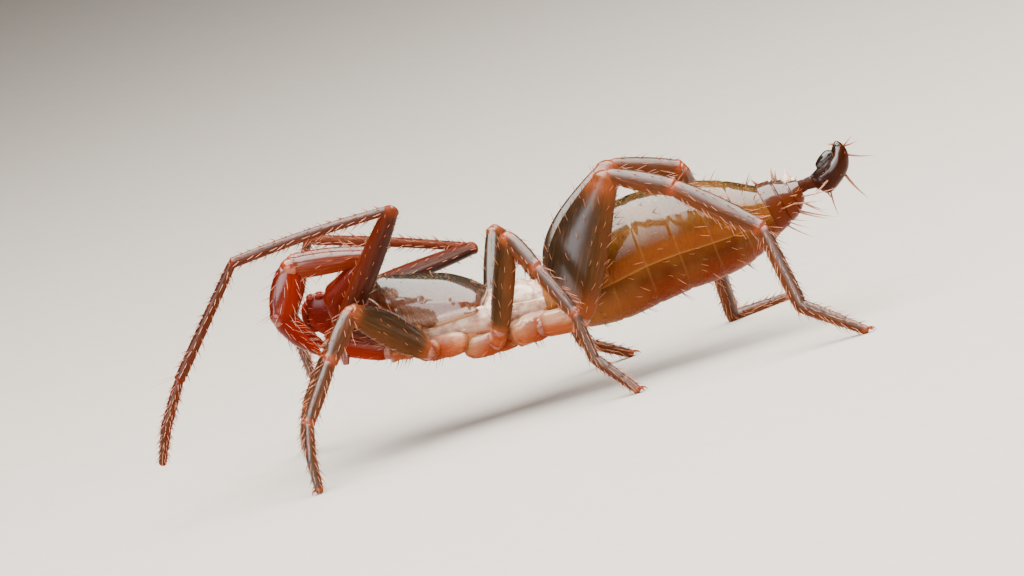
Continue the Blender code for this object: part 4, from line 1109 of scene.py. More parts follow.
def build_coxae(finish):
    """The underside of the prosoma with its coxae, soft between them."""
    places = np.linspace(0.0, len(UNDERSIDE_ROWS) - 1, 90)
    over = np.linspace(0.0, math.pi, 60)
    lower = arch_grid(UNDERSIDE_ROWS, places, over, np.zeros((1, 1)))
    back = lower[:, ::-1, :].copy()
    back[..., 2] = rows_at(UNDERSIDE_ROWS, places)[1][:, None] + 0.004
    lower = wrinkled(lower, (0.16, 0.2, 0.06), 0.034, 9.0)
    grid = np.concatenate((lower, back[:, 1:-1]), axis=1)
    up = np.concatenate((smooth_step(2 * np.sin(over)), np.zeros(len(over) - 2)))[None, :]
    tube = Tube(grid, {"joint": up})
    make_piece("prosoma_underside", [tube], finish["waist"], ["coxosternum"])
    coxae = []
    condyles = []
    for name in COXA_HEARTS:
        for side in (LEFT, RIGHT):
            inner, root, way, across, upward = coxa_frame(name, side)
            reach = np.linalg.norm(root - inner)
            radius = COXA_RADII[name]
            share = np.linspace(-0.15, 1.0 + 0.22 * radius / reach, 44)
            swell = np.interp(share, (-0.15, 0.2, 0.6, 0.9, 1.0), (0.55, 0.95, 1.06, 1.0, 0.98))
            swell = swell * np.sqrt(np.clip((share[-1] - share) * reach / (0.35 * radius), 0.04, 1.0))
            angles = circle(RING_POINTS["coxa"])
            wide = COXA_WIDTHS[name] + (1.15 - COXA_WIDTHS[name]) * smooth_step((share - 0.7) / 0.5)
            centre = inner + (root - inner) * share[:, None]
            flat = powered(np.cos(angles))
            high = powered(np.sin(angles))
            height = radius * swell
            grid = centre[:, None, :] + (across * flat[:, None])[None] * (height * wide)[:, None, None]
            grid = grid + (upward * high[:, None])[None] * height[:, None, None]
            grid = wrinkled(grid, (0.09, 0.10, 0.06), 0.022, 5.0)
            facts = {"up": np.sin(angles)[None, :], "joint": 0.9 * bell(share, 1.10, 0.16)[:, None]}
            coxae.append(Tube(grid, facts))
            spot = root - way * 0.03 + upward * radius * 0.55 - across * radius * 0.55 * side
            condyles.append(ball_tube(spot, radius * 0.32, {"up": 0.2}))
    for x, z, radius in COXA_BULGES:
        for side in (LEFT, RIGHT):
            centre = (x, side * COXA_BULGE_OFFSET, z)
            bulge = ball_tube(centre, radius, {"up": 0.1}, (1.3, 0.75, 1.0))
            coxae.append(bulge._replace(grid=wrinkled(bulge.grid, (0.07, 0.07, 0.06), 0.02, 2.0)))
    make_piece("coxae_skin", coxae, finish["coxa"])
    make_piece("coxa_condyles", condyles, finish["jaw"])


def ball_tube(centre, radius, facts, squash=(1.0, 1.0, 1.0)):
    """A small closed round body."""
    height = np.linspace(-0.985, 0.985, 12)
    angles = circle(RING_POINTS["ball"])
    ring = np.sqrt(1 - height**2)
    grid = np.stack(
        (
            ring[:, None] * np.cos(angles)[None, :],
            ring[:, None] * np.sin(angles)[None, :],
            height[:, None] * np.ones((1, len(angles))),
        ),
        axis=-1,
    )
    return Tube(np.asarray(centre) + grid * radius * np.array(squash), facts)


def curve_points(points, count):
    """Points on a smooth curve through a few points."""
    table = [tuple(point) for point in points]
    return rows_at(table, np.linspace(0.0, len(table) - 1, count)).T


def rim_ways(across, upward, angles):
    """Directions all round each of many places, from two that stand across its way."""
    level = across[:, None, :] * np.cos(angles)[None, :, None]
    return level + upward[:, None, :] * np.sin(angles)[None, :, None]


def spike_tube(points, radii, sides, facts, rings=16):
    """A closed round spike on a smooth curve through a few points."""
    centre = curve_points(points, rings)
    radius = np.interp(np.linspace(0, 1, rings), np.linspace(0, 1, len(radii)), radii)
    way = normalised(np.gradient(centre, axis=0))
    helper = np.array((0.0, 1.0, 0.0)) if abs(way[0, 1]) < 0.9 else np.array((1.0, 0.0, 0.0))
    across = normalised(np.cross(way, helper))
    upward = np.cross(way, across)
    rim = rim_ways(across, upward, circle(sides))
    return Tube(centre[:, None, :] + rim * radius[:, None, None], facts)


def build_jaws(finish):
    angles = circle(RING_POINTS["jaw"])
    for side in (LEFT, RIGHT):
        places = np.linspace(0.0, len(JAW_ROWS) - 1, 70)
        lift = -0.03 * (1 - smooth_step((len(JAW_ROWS) - 1 - places) / 0.45))
        lift -= 0.004 * bell(places, 1.6, 0.10)
        grid = ring_grid(JAW_ROWS, places, angles, lift[:, None])
        grid = grid + np.array((0.0, side * JAW_OFFSET, 0.0))
        tubes = [Tube(grid, {"up": np.sin(angles)[None, :]})]
        y = side * JAW_OFFSET
        # The movable finger closes down over the fixed one, both toothed on the inner side.
        finger = [(x, y, z) for x, z in JAW_FINGER]
        tubes.append(spike_tube(finger, JAW_FINGER_RADII, 20, {"up": 0.1}, 30))
        fixed = [(x, y, z) for x, z in JAW_FIXED_FINGER]
        tubes.append(spike_tube(fixed, JAW_FIXED_FINGER_RADII, 16, {"up": -0.2}, 20))
        for tooth in range(JAW_TEETH):
            x = -1.672 + 0.012 * tooth
            base = (x, y + side * 0.012, 1.515 - 0.030 * tooth)
            tip = (x + 0.022, y + side * 0.012, 1.508 - 0.030 * tooth)
            tubes.append(spike_tube((base, tip), (0.009, 0.002), 8, {"up": 0.6}, 5))
        for x, z, radius, stretch in JAW_KNOBS:
            tubes.append(ball_tube((x, side * JAW_KNOB_OFFSET, z), radius, {"up": 0.3}, stretch))
        name = "chelicera_" + SIDE_NAMES[side]
        make_piece(name + "_skin", tubes, finish["jaw"], [name])


def limb_joints(name, side):
    """Places of the joints from the coxa to the tip, and the bend inside the tarsus."""
    joints = [mirrored(LIMB_ROOTS[name], side)]
    ways = []
    for lie in POSE[name, side]:
        turn = math.radians(lie.turn)
        rise = math.radians(lie.rise)
        flat = math.cos(rise)
        ways.append(Vector((flat * math.cos(turn), flat * math.sin(turn), math.sin(rise))))
    shapes = LIMB_SHAPES[name]
    for shape, way in zip(shapes[:-1], ways):
        joints.append(joints[-1] + way * shape.length)
    length = shapes[-1].length
    upper = length * UPPER_TARSUS[name]
    lower = length - upper
    bend = joints[-1] + ways[-2] * upper
    tip = bend + ways[-1] * lower
    if name in WALKING_LEGS:
        drop = SOLE_HEIGHT - bend.z
        flat = Vector((ways[-1].x, ways[-1].y, 0.0)).normalized()
        tip = bend + flat * math.sqrt(lower * lower - drop * drop) + Vector((0.0, 0.0, drop))
    return joints, bend, tip


def point_on(path, distance):
    """Point and direction at a distance along a path, with the corner's direction shared."""
    lengths = [(b - a).length for a, b in zip(path, path[1:])]
    index = 0
    left = distance
    while index < len(lengths) - 1 and left > lengths[index]:
        left -= lengths[index]
        index += 1
    way = (path[index + 1] - path[index]).normalized()
    centre = path[index] + way * left
    if index > 0 and left < BEND_BLEND:
        previous = (path[index] - path[index - 1]).normalized()
        way = (way + previous * (1 - left / BEND_BLEND)).normalized()
    elif index < len(lengths) - 1 and lengths[index] - left < BEND_BLEND:
        following = (path[index + 2] - path[index + 1]).normalized()
        way = (way + following * (1 - (lengths[index] - left) / BEND_BLEND)).normalized()
    return centre, way


def curve_value(values, share):
    """Read a curve through base, middle and tip values, or through more values at even steps."""
    if len(values) > 3:
        return rows_at([(value,) for value in values], share * (len(values) - 1))[0]
    base, middle, tip = values
    straight = base + (tip - base) * share
    return straight + (middle - (base + tip) / 2) * np.sin(math.pi * share)


def make_segment(path, shape, hinge, grooves, is_last):
    """Sample a limb segment's middle line, directions and half sizes along its length."""
    total = sum((b - a).length for a, b in zip(path, path[1:]))
    base_size = min(shape.above[0], shape.below[0])
    tip_size = min(shape.above[-1], shape.below[-1])
    start = -0.35 * base_size
    end = total + (0.55 if is_last else 0.42) * tip_size
    even = np.linspace(0.0, 1.0, max(56, int(total * 70)))
    distance = start + (end - start) * (even - 0.9 * np.sin(2 * math.pi * even) / (2 * math.pi))
    share = np.clip(distance / total, 0.0, 1.0)
    centres = []
    ways = []
    for value in distance:
        centre, way = point_on(path, value)
        centres.append(centre)
        ways.append(way)
    centre = np.array(centres)
    way = np.array(ways)
    upward = normalised(-np.cross(np.array(hinge), way))
    across = np.cross(upward, way)
    centre = centre + upward * (shape.bow * np.sin(math.pi * share))[:, None]
    warped = share ** (math.log(0.5) / math.log(shape.peak))
    inward = np.clip((distance - start) / (1.1 * base_size), 0.0, 1.0)
    outward = np.clip((end - distance) / (0.75 * tip_size), 0.0, 1.0)
    swell = 0.42 + 0.58 * np.sqrt(1 - (1 - inward) ** 2)
    swell = swell * (0.22 + 0.78 * np.sqrt(1 - (1 - outward) ** 2))
    if not is_last:
        swell = swell + 0.055 * bell(distance, total - 0.10 * tip_size, 0.30 * tip_size)
        swell = swell - 0.035 * bell(distance, total - 0.75 * tip_size, 0.35 * tip_size)
    for groove in grooves:
        place = total * groove
        swell = swell - 0.13 * bell(distance, place, 0.010) + 0.03 * bell(distance, place - 0.03, 0.02)
    wide, above, below = [
        curve_value(values, warped) * swell for values in (shape.half_width, shape.above, shape.below)
    ]
    return Segment(distance, centre, way, across, upward, wide, above, below, total)


def segment_tube(segment, sides):
    angles = circle(sides)
    depth = np.where(np.sin(angles)[None, :] > 0, segment.above[:, None], segment.below[:, None])
    wide = np.cos(angles)[None, :] * segment.half_width[:, None]
    high = np.sin(angles)[None, :] * depth
    grid = segment.centre[:, None, :] + segment.across[:, None, :] * wide[..., None]
    grid = grid + segment.upward[:, None, :] * high[..., None]
    up = np.sin(angles)[None, :] * np.ones((len(segment.distance), 1))
    size = segment.above.max()
    near = bell(segment.distance, 0.0, 0.45 * size) + bell(segment.distance, segment.total, 0.40 * size)
    place = segment.distance[:, None] * np.ones((1, sides))
    local = np.stack((place, wide, high), axis=-1) + segment.centre[0]
    facts = {"up": up, "joint": np.clip(near, 0, 0.65)[:, None], "local": local}
    return Tube(grid, facts)


class Brush:
    """Gathers bristles with their roots, directions and places on the skin's unwrap."""

    def __init__(self, seed):
        self.chance = np.random.default_rng(seed)
        self.parts = []

    def plant(self, roots, normals, alongs, length, lean, radius, patches):
        count = len(roots)
        length = length * (1 + 0.22 * self.chance.uniform(-1, 1, count))
        tilt = np.radians(lean + 9 * self.chance.uniform(-1, 1, count))[:, None]
        sideways = np.cross(normals, alongs) * self.chance.uniform(-0.22, 0.22, count)[:, None]
        ways = normalised(normals * np.cos(tilt) + alongs * np.sin(tilt) + sideways)
        radius = np.broadcast_to(radius, count) * (1 + 0.15 * self.chance.uniform(-1, 1, count))
        self.parts.append((roots, ways, alongs, length, radius, patches))

    def make(self, name, material):
        """Turn what was planted into one piece."""
        fields = [np.concatenate(field) for field in zip(*self.parts)]
        roots, ways, alongs, length, radius, patches = fields
        heights = np.array((-0.08, 0.18, 0.42, 0.66, 0.86))
        widths = np.array((1.0, 0.92, 0.74, 0.50, 0.27))
        sides = BRISTLE_SIDES
        helper = normalised(np.cross(ways, alongs + 0.3 * ways[:, ::-1] + 1e-3))
        other = np.cross(ways, helper)
        rim = rim_ways(helper, other, circle(sides))
        centre = roots[:, None, :] + ways[:, None, :] * (length[:, None] * heights)[..., None]
        centre = centre + alongs[:, None, :] * (length[:, None] * 0.16 * heights**2)[..., None]
        body = centre[:, :, None, :] + rim[:, None, :, :] * (radius[:, None] * widths)[..., None, None]
        tips = roots + ways * length[:, None] + alongs * (length * 0.16)[:, None]
        body[..., 2] = np.maximum(body[..., 2], BRISTLE_FLOOR)
        tips[:, 2] = np.maximum(tips[:, 2], BRISTLE_FLOOR + 0.002)
        count = len(roots)
        block = len(heights) * sides + 1
        points = np.concatenate((body.reshape(count, -1, 3), tips[:, None, :]), axis=1).reshape(-1, 3)
        quads = []
        for ring in range(len(heights) - 1):
            for side in range(sides):
                after = (side + 1) % sides
                low = ring * sides
                quads.append((low + side, low + sides + side, low + sides + after, low + after))
        low = (len(heights) - 1) * sides
        ends = [(low + side, block - 1, low + (side + 1) % sides) for side in range(sides)]
        shift = (np.arange(count) * block)[:, None, None]
        faces = (np.array(quads)[None] + shift).reshape(-1, 4).tolist()
        faces += (np.array(ends)[None] + shift).reshape(-1, 3).tolist()
        mesh = bpy.data.meshes.new(name)
        mesh.from_pydata(((points - SPAN_MIDDLE) * MM).tolist(), [], faces)
        height = np.concatenate((np.repeat(np.clip(heights, 0, 1), sides), (1.0,)))
        layer = mesh.attributes.new("tip", "FLOAT", "POINT")
        layer.data.foreach_set("value", np.tile(height, count).astype(np.float32))
        turn = np.concatenate((np.tile(np.arange(sides) / sides, len(heights)), (0.5,)))
        patch = patches[:, None, :] + 0.003 * np.stack((turn, height), axis=-1)[None]
        place = patch.reshape(-1, 2).astype(np.float32)
        corner = np.empty(len(mesh.loops), np.int32)
        mesh.loops.foreach_get("vertex_index", corner)
        mesh.uv_layers.new(name="OFBake").data.foreach_set("uv", place[corner].ravel())
        new_piece(name, mesh, material)


def plant_segment(brush, segment, coat, band):
    """Plant rows of bristles round a limb segment. Band is its strip on the unwrap."""
    chance = brush.chance
    places = []
    angles = []
    for row in range(coat.rows):
        steps = max(2, int(segment.total * coat.per_mm))
        even = (np.arange(steps) + 0.5 + chance.uniform(-0.3, 0.3, steps)) / steps
        places.append(0.03 + 0.94 * even)
        angles.append(2 * math.pi * (row + 0.25 + chance.uniform(-0.16, 0.16, steps)) / coat.rows)
    share = np.concatenate(places)
    angle = np.concatenate(angles)
    index = np.searchsorted(segment.distance, share * segment.total).clip(0, len(segment.distance) - 1)
    depth = np.where(np.sin(angle) > 0, segment.above[index], segment.below[index])
    width = segment.half_width[index]
    across = segment.across[index]
    upward = segment.upward[index]
    wide = np.cos(angle)[:, None]
    high = np.sin(angle)[:, None]
    roots = segment.centre[index] + across * wide * width[:, None] + upward * high * depth[:, None]
    normals = normalised(across * wide / width[:, None] + upward * high / depth[:, None])
    around = 0.01 + 0.97 * (angle / (2 * math.pi)) % 1.0
    patches = np.stack((around, (band + 0.03 + 0.9 * share) / 5), axis=-1)
    patches = np.clip(patches, 0.0, 0.996)
    brush.plant(roots, normals, segment.way[index], coat.length, coat.lean, coat.radius, patches)


def ring_roots(rows, places, angle, sunk=0.0, aside=0.0):
    """Middles, roots a little under the skin and outward directions on a ringed body."""
    centre, upward, depth, half_width = ring_frames(rows, places)
    centre = centre + np.array((0.0, aside, 0.0))
    wide = np.cos(angle)[:, None] * np.array((0.0, 1.0, 0.0))
    high = np.sin(angle)[:, None] * upward
    roots = centre + wide * (half_width - sunk)[:, None] + high * (depth - sunk)[:, None]
    return centre, roots, normalised(wide / half_width[:, None] + high / depth[:, None])


def plant_body(brush, rows, items):
    """Plant single bristles on a ringed body."""
    places = np.array([item.place for item in items])
    angle = np.radians([item.angle for item in items])
    centre, roots, normals = ring_roots(rows, places, angle, sunk=0.006)
    ahead = ring_frames(rows, np.minimum(places + 0.1, len(rows) - 1))[0]
    length = np.array([item.length for item in items])
    lean = np.array([item.lean for item in items], float)
    radius = np.array([item.radius for item in items])
    around = (np.degrees(angle) % 360) / 360
    patches = np.stack((around * 0.99, 0.99 * places / (len(rows) - 1)), axis=-1)
    patches = np.clip(patches, 0.0, 0.996)
    brush.plant(roots, normals, normalised(ahead - centre), length, lean, radius, patches)


def build_limb(finish, name, side):
    joints, bend, tip = limb_joints(name, side)
    shapes = LIMB_SHAPES[name]
    ways = [(b - a).normalized() for a, b in zip(joints, joints[1:])]
    ways.append((bend - joints[-1]).normalized())
    hinge = ways[1].cross(ways[2]).normalized()
    label = name + "_" + SIDE_NAMES[side]
    brush = Brush(SEEDS["limb"] + 10 * list(LIMB_SHAPES).index(name) + side)
    soft = []
    hard = []
    for index, (part, shape) in enumerate(zip(PARTS, shapes)):
        is_last = index == len(shapes) - 1
        path = [joints[index], bend, tip] if is_last else [joints[index], joints[index + 1]]
        grooves = TARSUS_GROOVES[name] if is_last else ()
        segment = make_segment(path, shape, hinge, grooves, is_last)
        tubes = [segment_tube(segment, RING_POINTS["feeler" if name == "leg_1" else "limb"])]
        if name == "palp" and part == "trochanter":
            tubes.append(palp_knob(side))
        skin = finish[LIMB_FINISHES[name][index]]
        make_piece(label + "_" + part + "_skin", tubes, skin, [label + "_" + part])
        if LIMB_COATS[name][index]:
            plant_segment(brush, segment, LIMB_COATS[name][index], index)
        joint = np.array(joints[index])
        size = 0.86 * min(shape.above[0], shape.below[0])
        wide = 0.95 * shape.half_width[0]
        soft.append(ball_tube(joint, 1.0, {}, (size, size * 0.95, size)))
        across = segment.across[0]
        for turn in (-1, 1):
            hard.append(ball_tube(joint + across * wide * turn * 0.93, 0.22 * size, {"up": 0.4}))
    hard += claw_tubes(name, bend, tip)
    if name == "palp":
        hard += palp_spurs(side, joints, bend, tip)
    make_piece(label + "_joint_skin", soft, finish["joint"])
    make_piece(label + "_claws_and_condyles", hard, finish["claw"])
    if name == "leg_1":
        plant_feeler_hairs(brush, joints, ways)
    brush.make(label + "_bristles", finish["bristle"])


def plant_feeler_hairs(brush, joints, ways):
    """The long thin hairs near the end of a feeler's tibia, which feel the air."""
    end = np.array(joints[4] - ways[3] * 0.06)
    roots = np.array((end, end + np.array(ways[3]) * 0.02, end - np.array(ways[3]) * 0.30))
    normals = normalised(np.array(((-1.0, -0.15, 0.10), (-1.0, 0.1, 0.22), (-1.0, 0.0, -0.05))))
    alongs = np.repeat(np.array(ways[3])[None], 3, axis=0)
    patches = np.array(((0.5, 0.77), (0.52, 0.78), (0.5, 0.70)))
    brush.plant(roots, normals, alongs, np.array((0.46, 0.38, 0.30)), 8, 0.0026, patches)


def claw_tubes(name, bend, tip):
    """Curved claws: three at a walking foot, one long one at a palp, none at a feeler."""
    way = (tip - bend).normalized()
    if name == "palp":
        curl = Vector((0.35, 0.0, -1.0)).normalized()
        bent = tip + way * 0.07 + curl * 0.008
        point = tip + way * 0.105 + curl * 0.02
        points = (tip - way * 0.05, tip + way * 0.03, bent, point)
        return [spike_tube(points, (0.032, 0.026, 0.014, 0.002), 14, {"up": -0.3})]
    if name not in WALKING_LEGS:
        return []
    flat = Vector((way.x, way.y, 0.0)).normalized()
    aside = Vector((-flat.y, flat.x, 0.0))
    tubes = []
    for spread, reach in CLAW_SPREADS:
        start = tip - flat * 0.02 + aside * spread * 0.3
        near = tip + flat * reach * 0.35 + aside * spread * 0.8
        far = tip + flat * reach * 0.75 + aside * spread * 1.1
        end = tip + flat * reach + aside * spread * 1.3
        start.z = tip.z + 0.006
        near.z = tip.z + 0.018
        far.z = tip.z + 0.008
        end.z = 0.010
        tubes.append(spike_tube((start, near, far, end), CLAW_RADII, 10, {"up": -0.2}, 14))
    return tubes


def palp_knob(side):
    """The blunt knob under the palp's trochanter."""
    points = [mirrored(point, side) for point in KNOB_POINTS]
    return spike_tube(points, KNOB_RADII, 18, {"up": 0.6})


def palp_spurs(side, joints, bend, tip):
    """Two stout spurs beside the palp's claw and a row of teeth inside its trochanter's end."""
    way = (tip - bend).normalized()
    aside = Vector((0.0, 1.0, 0.0))
    tubes = []
    for turn in (-1, 1):
        base = tip - way * 0.05 + aside * 0.028 * turn
        middle = base + way * 0.05 + aside * 0.012 * turn
        point = base + way * 0.085 + aside * 0.016 * turn
        tubes.append(spike_tube((base, middle, point), (0.013, 0.009, 0.002), 10, {"up": 0.1}, 10))
    front = joints[1]
    for tooth in range(4):
        base = front + Vector((-0.055 + 0.016 * tooth, -0.03 * side, -0.085 + 0.045 * tooth))
        point = base + Vector((-0.055, 0.0, 0.012))
        tubes.append(spike_tube((base, point), (0.014, 0.003), 8, {"up": 0.3}, 6))
    return tubes


def plant_abdomen(finish):
    brush = Brush(SEEDS["abdomen"])
    items = []
    plates = len(ABDOMEN_ROWS) - 1
    chance = brush.chance
    for plate in range(plates):
        for angle in list(range(-84, 85, 14)) + list(range(96, 265, 14)):
            jitter = chance.uniform(-4, 4)
            long_one = chance.uniform() < 0.45
            spot = plate + (0.66 if long_one else 0.45) + chance.uniform(-0.04, 0.04)
            length = 0.15 if long_one else 0.09
            lean = 42 if math.sin(math.radians(angle)) > 0 else 30
            items.append(BodyBristle(spot, angle + jitter, length, lean, 0.0052 if long_one else 0.0038))
        for _ in range(FINE_BRISTLES["plate"]):
            angle = chance.uniform(0, 360)
            items.append(BodyBristle(plate + chance.uniform(0.2, 0.92), angle, 0.05, 50, 0.0024))
    plant_body(brush, ABDOMEN_ROWS, items)
    brush.make("abdomen_bristles", finish["bristle"])
    brush = Brush(SEEDS["tail"])
    items = list(TAIL_BRISTLES)
    for _ in range(FINE_BRISTLES["tail"]):
        spot = chance.uniform(0.1, 2.9)
        items.append(BodyBristle(spot, chance.uniform(0, 360), 0.055, 50, 0.0028))
    plant_body(brush, TAIL_ROWS, items)
    brush.make("tail_bristles", finish["bristle"])
    brush = Brush(SEEDS["flagellum"])
    items = list(FLAGELLUM_BRISTLES)
    for _ in range(FINE_BRISTLES["flagellum"]):
        spot = chance.uniform(1.6, 5.6)
        items.append(BodyBristle(spot, chance.uniform(0, 360), 0.035, 40, 0.0022))
    plant_body(brush, FLAGELLUM_ROWS, items)
    brush.make("flagellum_bristles", finish["bristle"])


def plant_prosoma(finish):
    """Short bristles of the shield, the coxae and the jaws."""
    brush = Brush(SEEDS["prosoma"])
    chance = brush.chance
    spots = [(0.60, 90, 0.08, -55), (0.90, 60, 0.08, -45), (0.90, 120, 0.08, -45)]
    spots += [(2.50, 70, 0.06, -30), (2.50, 110, 0.06, -30)]
    spots += [(4.40, 70, 0.06, -20), (4.40, 110, 0.06, -20)]
    spots += [(6.20, 65, 0.06, 30), (6.20, 115, 0.06, 30)]
    for _ in range(FINE_BRISTLES["shield"]):
        spots.append((chance.uniform(0.8, 7.6), chance.uniform(12, 168), 0.035, 55))
    place, angle, length, lean = np.array(spots).T
    angle = np.radians(angle)
    x, edge, top, half_width = rows_at(SHIELD_ROWS, place)
    z = edge + (top - edge) * np.sin(angle) ** ARCH_FULLNESS
    roots = np.stack((x, half_width * np.cos(angle), z), axis=-1)
    normals = np.stack((np.zeros_like(x), np.cos(angle), np.sin(angle)), axis=-1)
    alongs = np.repeat(np.array(((1.0, 0.0, 0.0),)), len(x), axis=0)
    patches = np.stack((0.02 + 0.9 * angle / math.pi, 0.34 * place / 8), axis=-1)
    brush.plant(roots, normals, alongs, length, lean, np.where(length > 0.05, 0.005, 0.0026), patches)
    for number, name in enumerate(COXA_HEARTS):
        for side in (LEFT, RIGHT):
            inner, root, way, across, upward = coxa_frame(name, side)
            count = FINE_BRISTLES["coxa"]
            share = chance.uniform(0.25, 0.98, count)
            turn = chance.uniform(math.radians(195), math.radians(345), count)
            normals = across * np.cos(turn)[:, None] + upward * np.sin(turn)[:, None]
            roots = inner + (root - inner) * share[:, None] + normals * COXA_RADII[name]
            alongs = np.repeat(way[None], count, axis=0)
            strip = 0.36 + 0.06 * (number + (side > 0) * 5) * 0.9 + 0.05 * share
            patches = np.stack((0.02 + 0.9 * turn / 7, strip), axis=-1)
            brush.plant(roots, normals, alongs, 0.11, 25, 0.0042, np.clip(patches, 0, 0.99))
    brush.make("prosoma_bristles", finish["bristle"])
    brush = Brush(SEEDS["jaw"])
    for side in (LEFT, RIGHT):
        count = FINE_BRISTLES["jaw"]
        places = chance.uniform(1.6, 4.7, count)
        angle = chance.uniform(0, 2 * math.pi, count)
        _, roots, normals = ring_roots(JAW_ROWS, places, angle, aside=side * JAW_OFFSET)
        alongs = np.repeat(np.array(((-0.95, 0.0, 0.3),)), count, axis=0)
        patches = np.stack((angle / 6.5, 0.5 * (side > 0) + 0.1 * places), axis=-1)
        brush.plant(roots, normals, normalised(alongs), 0.06, 45, 0.0032, np.clip(patches, 0, 0.99))
    brush.make("jaw_bristles", finish["bristle"])


def make_finishes():
    return {
        "shield": shield_cuticle(),
        "abdomen": abdomen_cuticle(),
        "tail": hard_cuticle(
            "tanned_chitin_tail",
            ((0.0, "#5A1C02"), (0.5, "#4E1E04"), (0.8, "#46281A"), (1.0, "#3E281E")),
            roughness=0.34,
            coat_roughness=0.12,
        ),
        "flagellum": hard_cuticle(
            "hard_chitin_flagellum",
            ((0.0, "#3C1404"), (0.45, "#2A1006"), (0.8, "#22100A"), (1.0, "#18100C")),
            roughness=0.28,
            coat_roughness=0.10,
        ),
        "jaw": limb_cuticle(
            "hard_chitin_jaw",
            ((0.0, "#701000"), (0.5, "#5E0A00"), (1.0, "#4A0A02")),
            joint_colour="#6A0A00",
            streak_colour="#80281A",
            roughness=0.40,
            glow=0.35,
            wax=(0.3, 1.0),
            gloss=0.28,
        ),
        "claw": hard_cuticle(
            "hard_chitin_claw",
            ((0.0, "#6A1C06"), (0.5, "#743010"), (1.0, "#5A2810")),
            roughness=0.28,
            coat_roughness=0.10,
        ),
        "palp": limb_cuticle(
            "tanned_chitin_palp",
            ((0.0, "#801A02"), (0.45, "#6C1200"), (0.8, "#581204"), (1.0, "#481008")),
            joint_colour="#640A00",
            streak_colour="#8C3414",
            roughness=0.30,
            glow=0.35,
            wax=(-0.1, 0.5),
        ),
        "brown_palp": limb_cuticle(
            "brown_chitin_palp",
            ((0.0, "#7C280E"), (0.45, "#661E08"), (0.8, "#561E10"), (1.0, "#502218")),
            joint_colour="#6E1404",
            streak_colour="#8A4830",
            roughness=0.32,
            glow=0.35,
            wax=(-0.1, 0.6),
            gloss=0.2,
        ),
        "dark_palp": limb_cuticle(
            "thick_chitin_palp",
            ((0.0, "#5E1000"), (0.45, "#480A00"), (0.8, "#380C04"), (1.0, "#300E08")),
            joint_colour="#6A0E00",
            streak_colour="#5A1E14",
            roughness=0.30,
            glow=0.30,
            wax=(-0.2, 0.5),
        ),
        "feeler": limb_cuticle(
            "tanned_chitin_feeler",
            ((0.0, "#5C240C"), (0.5, "#461C0A"), (1.0, "#38180A")),
            joint_colour="#661402",
            streak_colour="#724030",
            roughness=0.38,
            glow=0.40,
            wax=(0.1, 1.1),
            gloss=0.28,
        ),
        "dark_feeler": limb_cuticle(
            "thick_chitin_feeler",
            ((0.0, "#541804"), (0.5, "#3A1206"), (1.0, "#2A120A")),
            joint_colour="#6A2A12",
            streak_colour="#563024",
            roughness=0.36,
            glow=0.25,
            wax=(0.50, 1.3),
            gloss=0.25,
        ),
        "leg": limb_cuticle(
            "tanned_chitin_leg",
            ((0.0, "#6C3818"), (0.35, "#4E2814"), (0.7, "#3E2212"), (1.0, "#362014")),
            joint_colour="#8A3A1A",
            streak_colour="#7C4A30",
            roughness=0.40,
            glow=0.45,
            wax=(-0.05, 0.65),
            gloss=0.28,
        ),
        "dark_leg": limb_cuticle(
            "thick_chitin_leg",
            ((0.0, "#542C10"), (0.35, "#361E08"), (0.7, "#28180A"), (1.0, "#20160A")),
            joint_colour="#86401C",
            streak_colour="#563820",
            roughness=0.38,
            glow=0.25,
            wax=(-0.15, 0.35),
            gloss=0.22,
        ),
        # The coxae are painted pale on top, as lit from above.
        "coxa": limb_cuticle(
            "thin_chitin_coxa",
            ((0.0, "#8A3E14"), (0.4, "#8C4420"), (0.65, "#A0704E"), (1.0, "#B4927A")),
            joint_colour="#7A2C10",
            streak_colour="#AE8060",
            roughness=0.32,
            glow=0.5,
            wax=(0.0, 0.6),
            gloss=0.10,
        ),
        "joint": joint_skin("soft_skin_joint", "#641A06", "#984820", "#984820", 0.5),
        "waist": joint_skin("soft_skin_waist", "#B07E60", "#E6D0BC", "#8E4C26", 0.4),
        "bristle": bristle_chitin(),
    }


def build_animal():
    finish = make_finishes()
    build_shield(finish)
    build_waist(finish)
    build_coxae(finish)
    build_abdomen(finish)
    build_tail(finish)
    build_flagellum(finish)
    build_jaws(finish)
    for name in LIMB_SHAPES:
        for side in (LEFT, RIGHT):
            build_limb(finish, name, side)
    plant_abdomen(finish)
    plant_prosoma(finish)


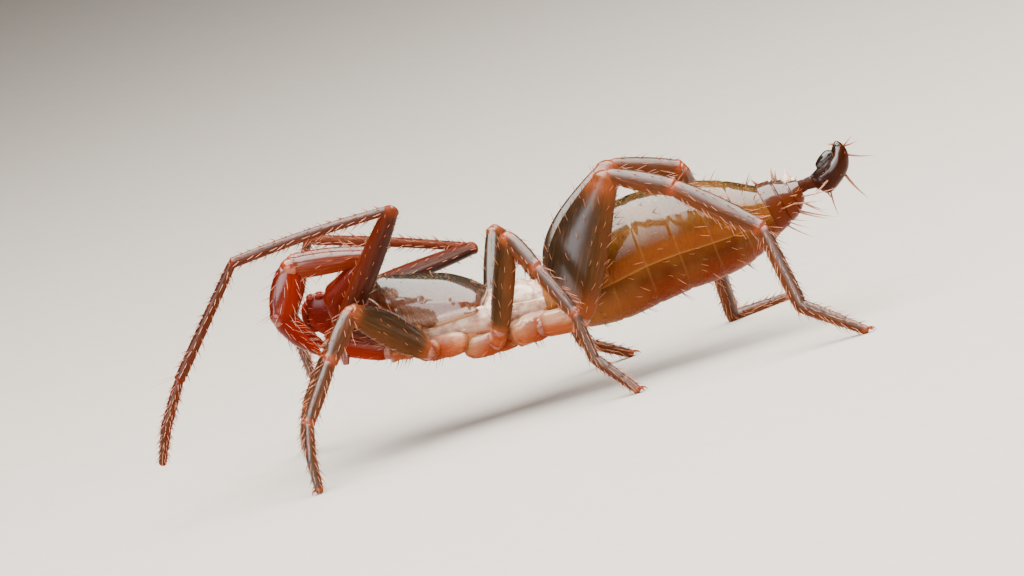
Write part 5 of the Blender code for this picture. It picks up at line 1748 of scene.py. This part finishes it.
def build_floor():
    mesh = bpy.data.meshes.new("paper_floor")
    half = FLOOR_HALF_WIDTH * MM
    corners = [(-half, -half, 0.0), (half, -half, 0.0), (half, half, 0.0), (-half, half, 0.0)]
    mesh.from_pydata(corners, [], [(0, 1, 2, 3)])
    mesh.materials.append(studio_paper())
    floor = new_object("paper_floor", mesh)


def view_directions():
    """The camera's right, up and forward directions."""
    roll = math.radians(CAMERA_ROLL)
    rise = math.radians(CAMERA_HEIGHT_ANGLE)
    right = Vector((math.cos(roll), -math.sin(roll) * math.sin(rise), -math.sin(roll) * math.cos(rise)))
    up = Vector((math.sin(roll), math.cos(roll) * math.sin(rise), math.cos(roll) * math.cos(rise)))
    forward = Vector((0.0, math.cos(rise), -math.sin(rise)))
    return right, up, forward


def build_camera():
    right, up, forward = view_directions()
    target = Vector((CAMERA_TARGET - SPAN_MIDDLE) * MM)
    data = bpy.data.cameras.new("camera")
    data.sensor_width = SENSOR_WIDTH
    data.lens = SENSOR_WIDTH * CAMERA_DISTANCE / VIEW_WIDTH
    data.clip_start = 0.001
    data.clip_end = 10.0
    camera = new_object("camera", data)
    turn = Matrix((right, up, -forward)).transposed()
    camera.matrix_world = Matrix.Translation(target - forward * CAMERA_DISTANCE * MM) @ turn.to_4x4()
    bpy.context.scene.camera = camera


def area_light(name, place, aim, size, power, colour):
    """A soft box at a place in millimetres, turned towards a point."""
    data = bpy.data.lights.new(name, "AREA")
    data.shape = "RECTANGLE"
    data.size, data.size_y = size[0] * MM, size[1] * MM
    data.energy = power
    data.color = linear(colour)[:3]
    light = new_object(name, data)
    light.location = Vector((np.array(place) - SPAN_MIDDLE) * MM)
    aim_point = Vector((np.array(aim) - SPAN_MIDDLE) * MM)
    light.rotation_mode = "QUATERNION"
    light.rotation_quaternion = (aim_point - light.location).to_track_quat("-Z", "Y")


def build_lights():
    for box in SOFT_BOXES:
        area_light(*box)
    world = bpy.data.worlds.new("studio")
    world.use_nodes = True
    background = world.node_tree.nodes["Background"]
    background.inputs["Color"].default_value = linear(ROOM_COLOUR)
    background.inputs["Strength"].default_value = ROOM_LIGHT
    bpy.context.scene.world = world


build_floor()
build_camera()
build_lights()
build_animal()
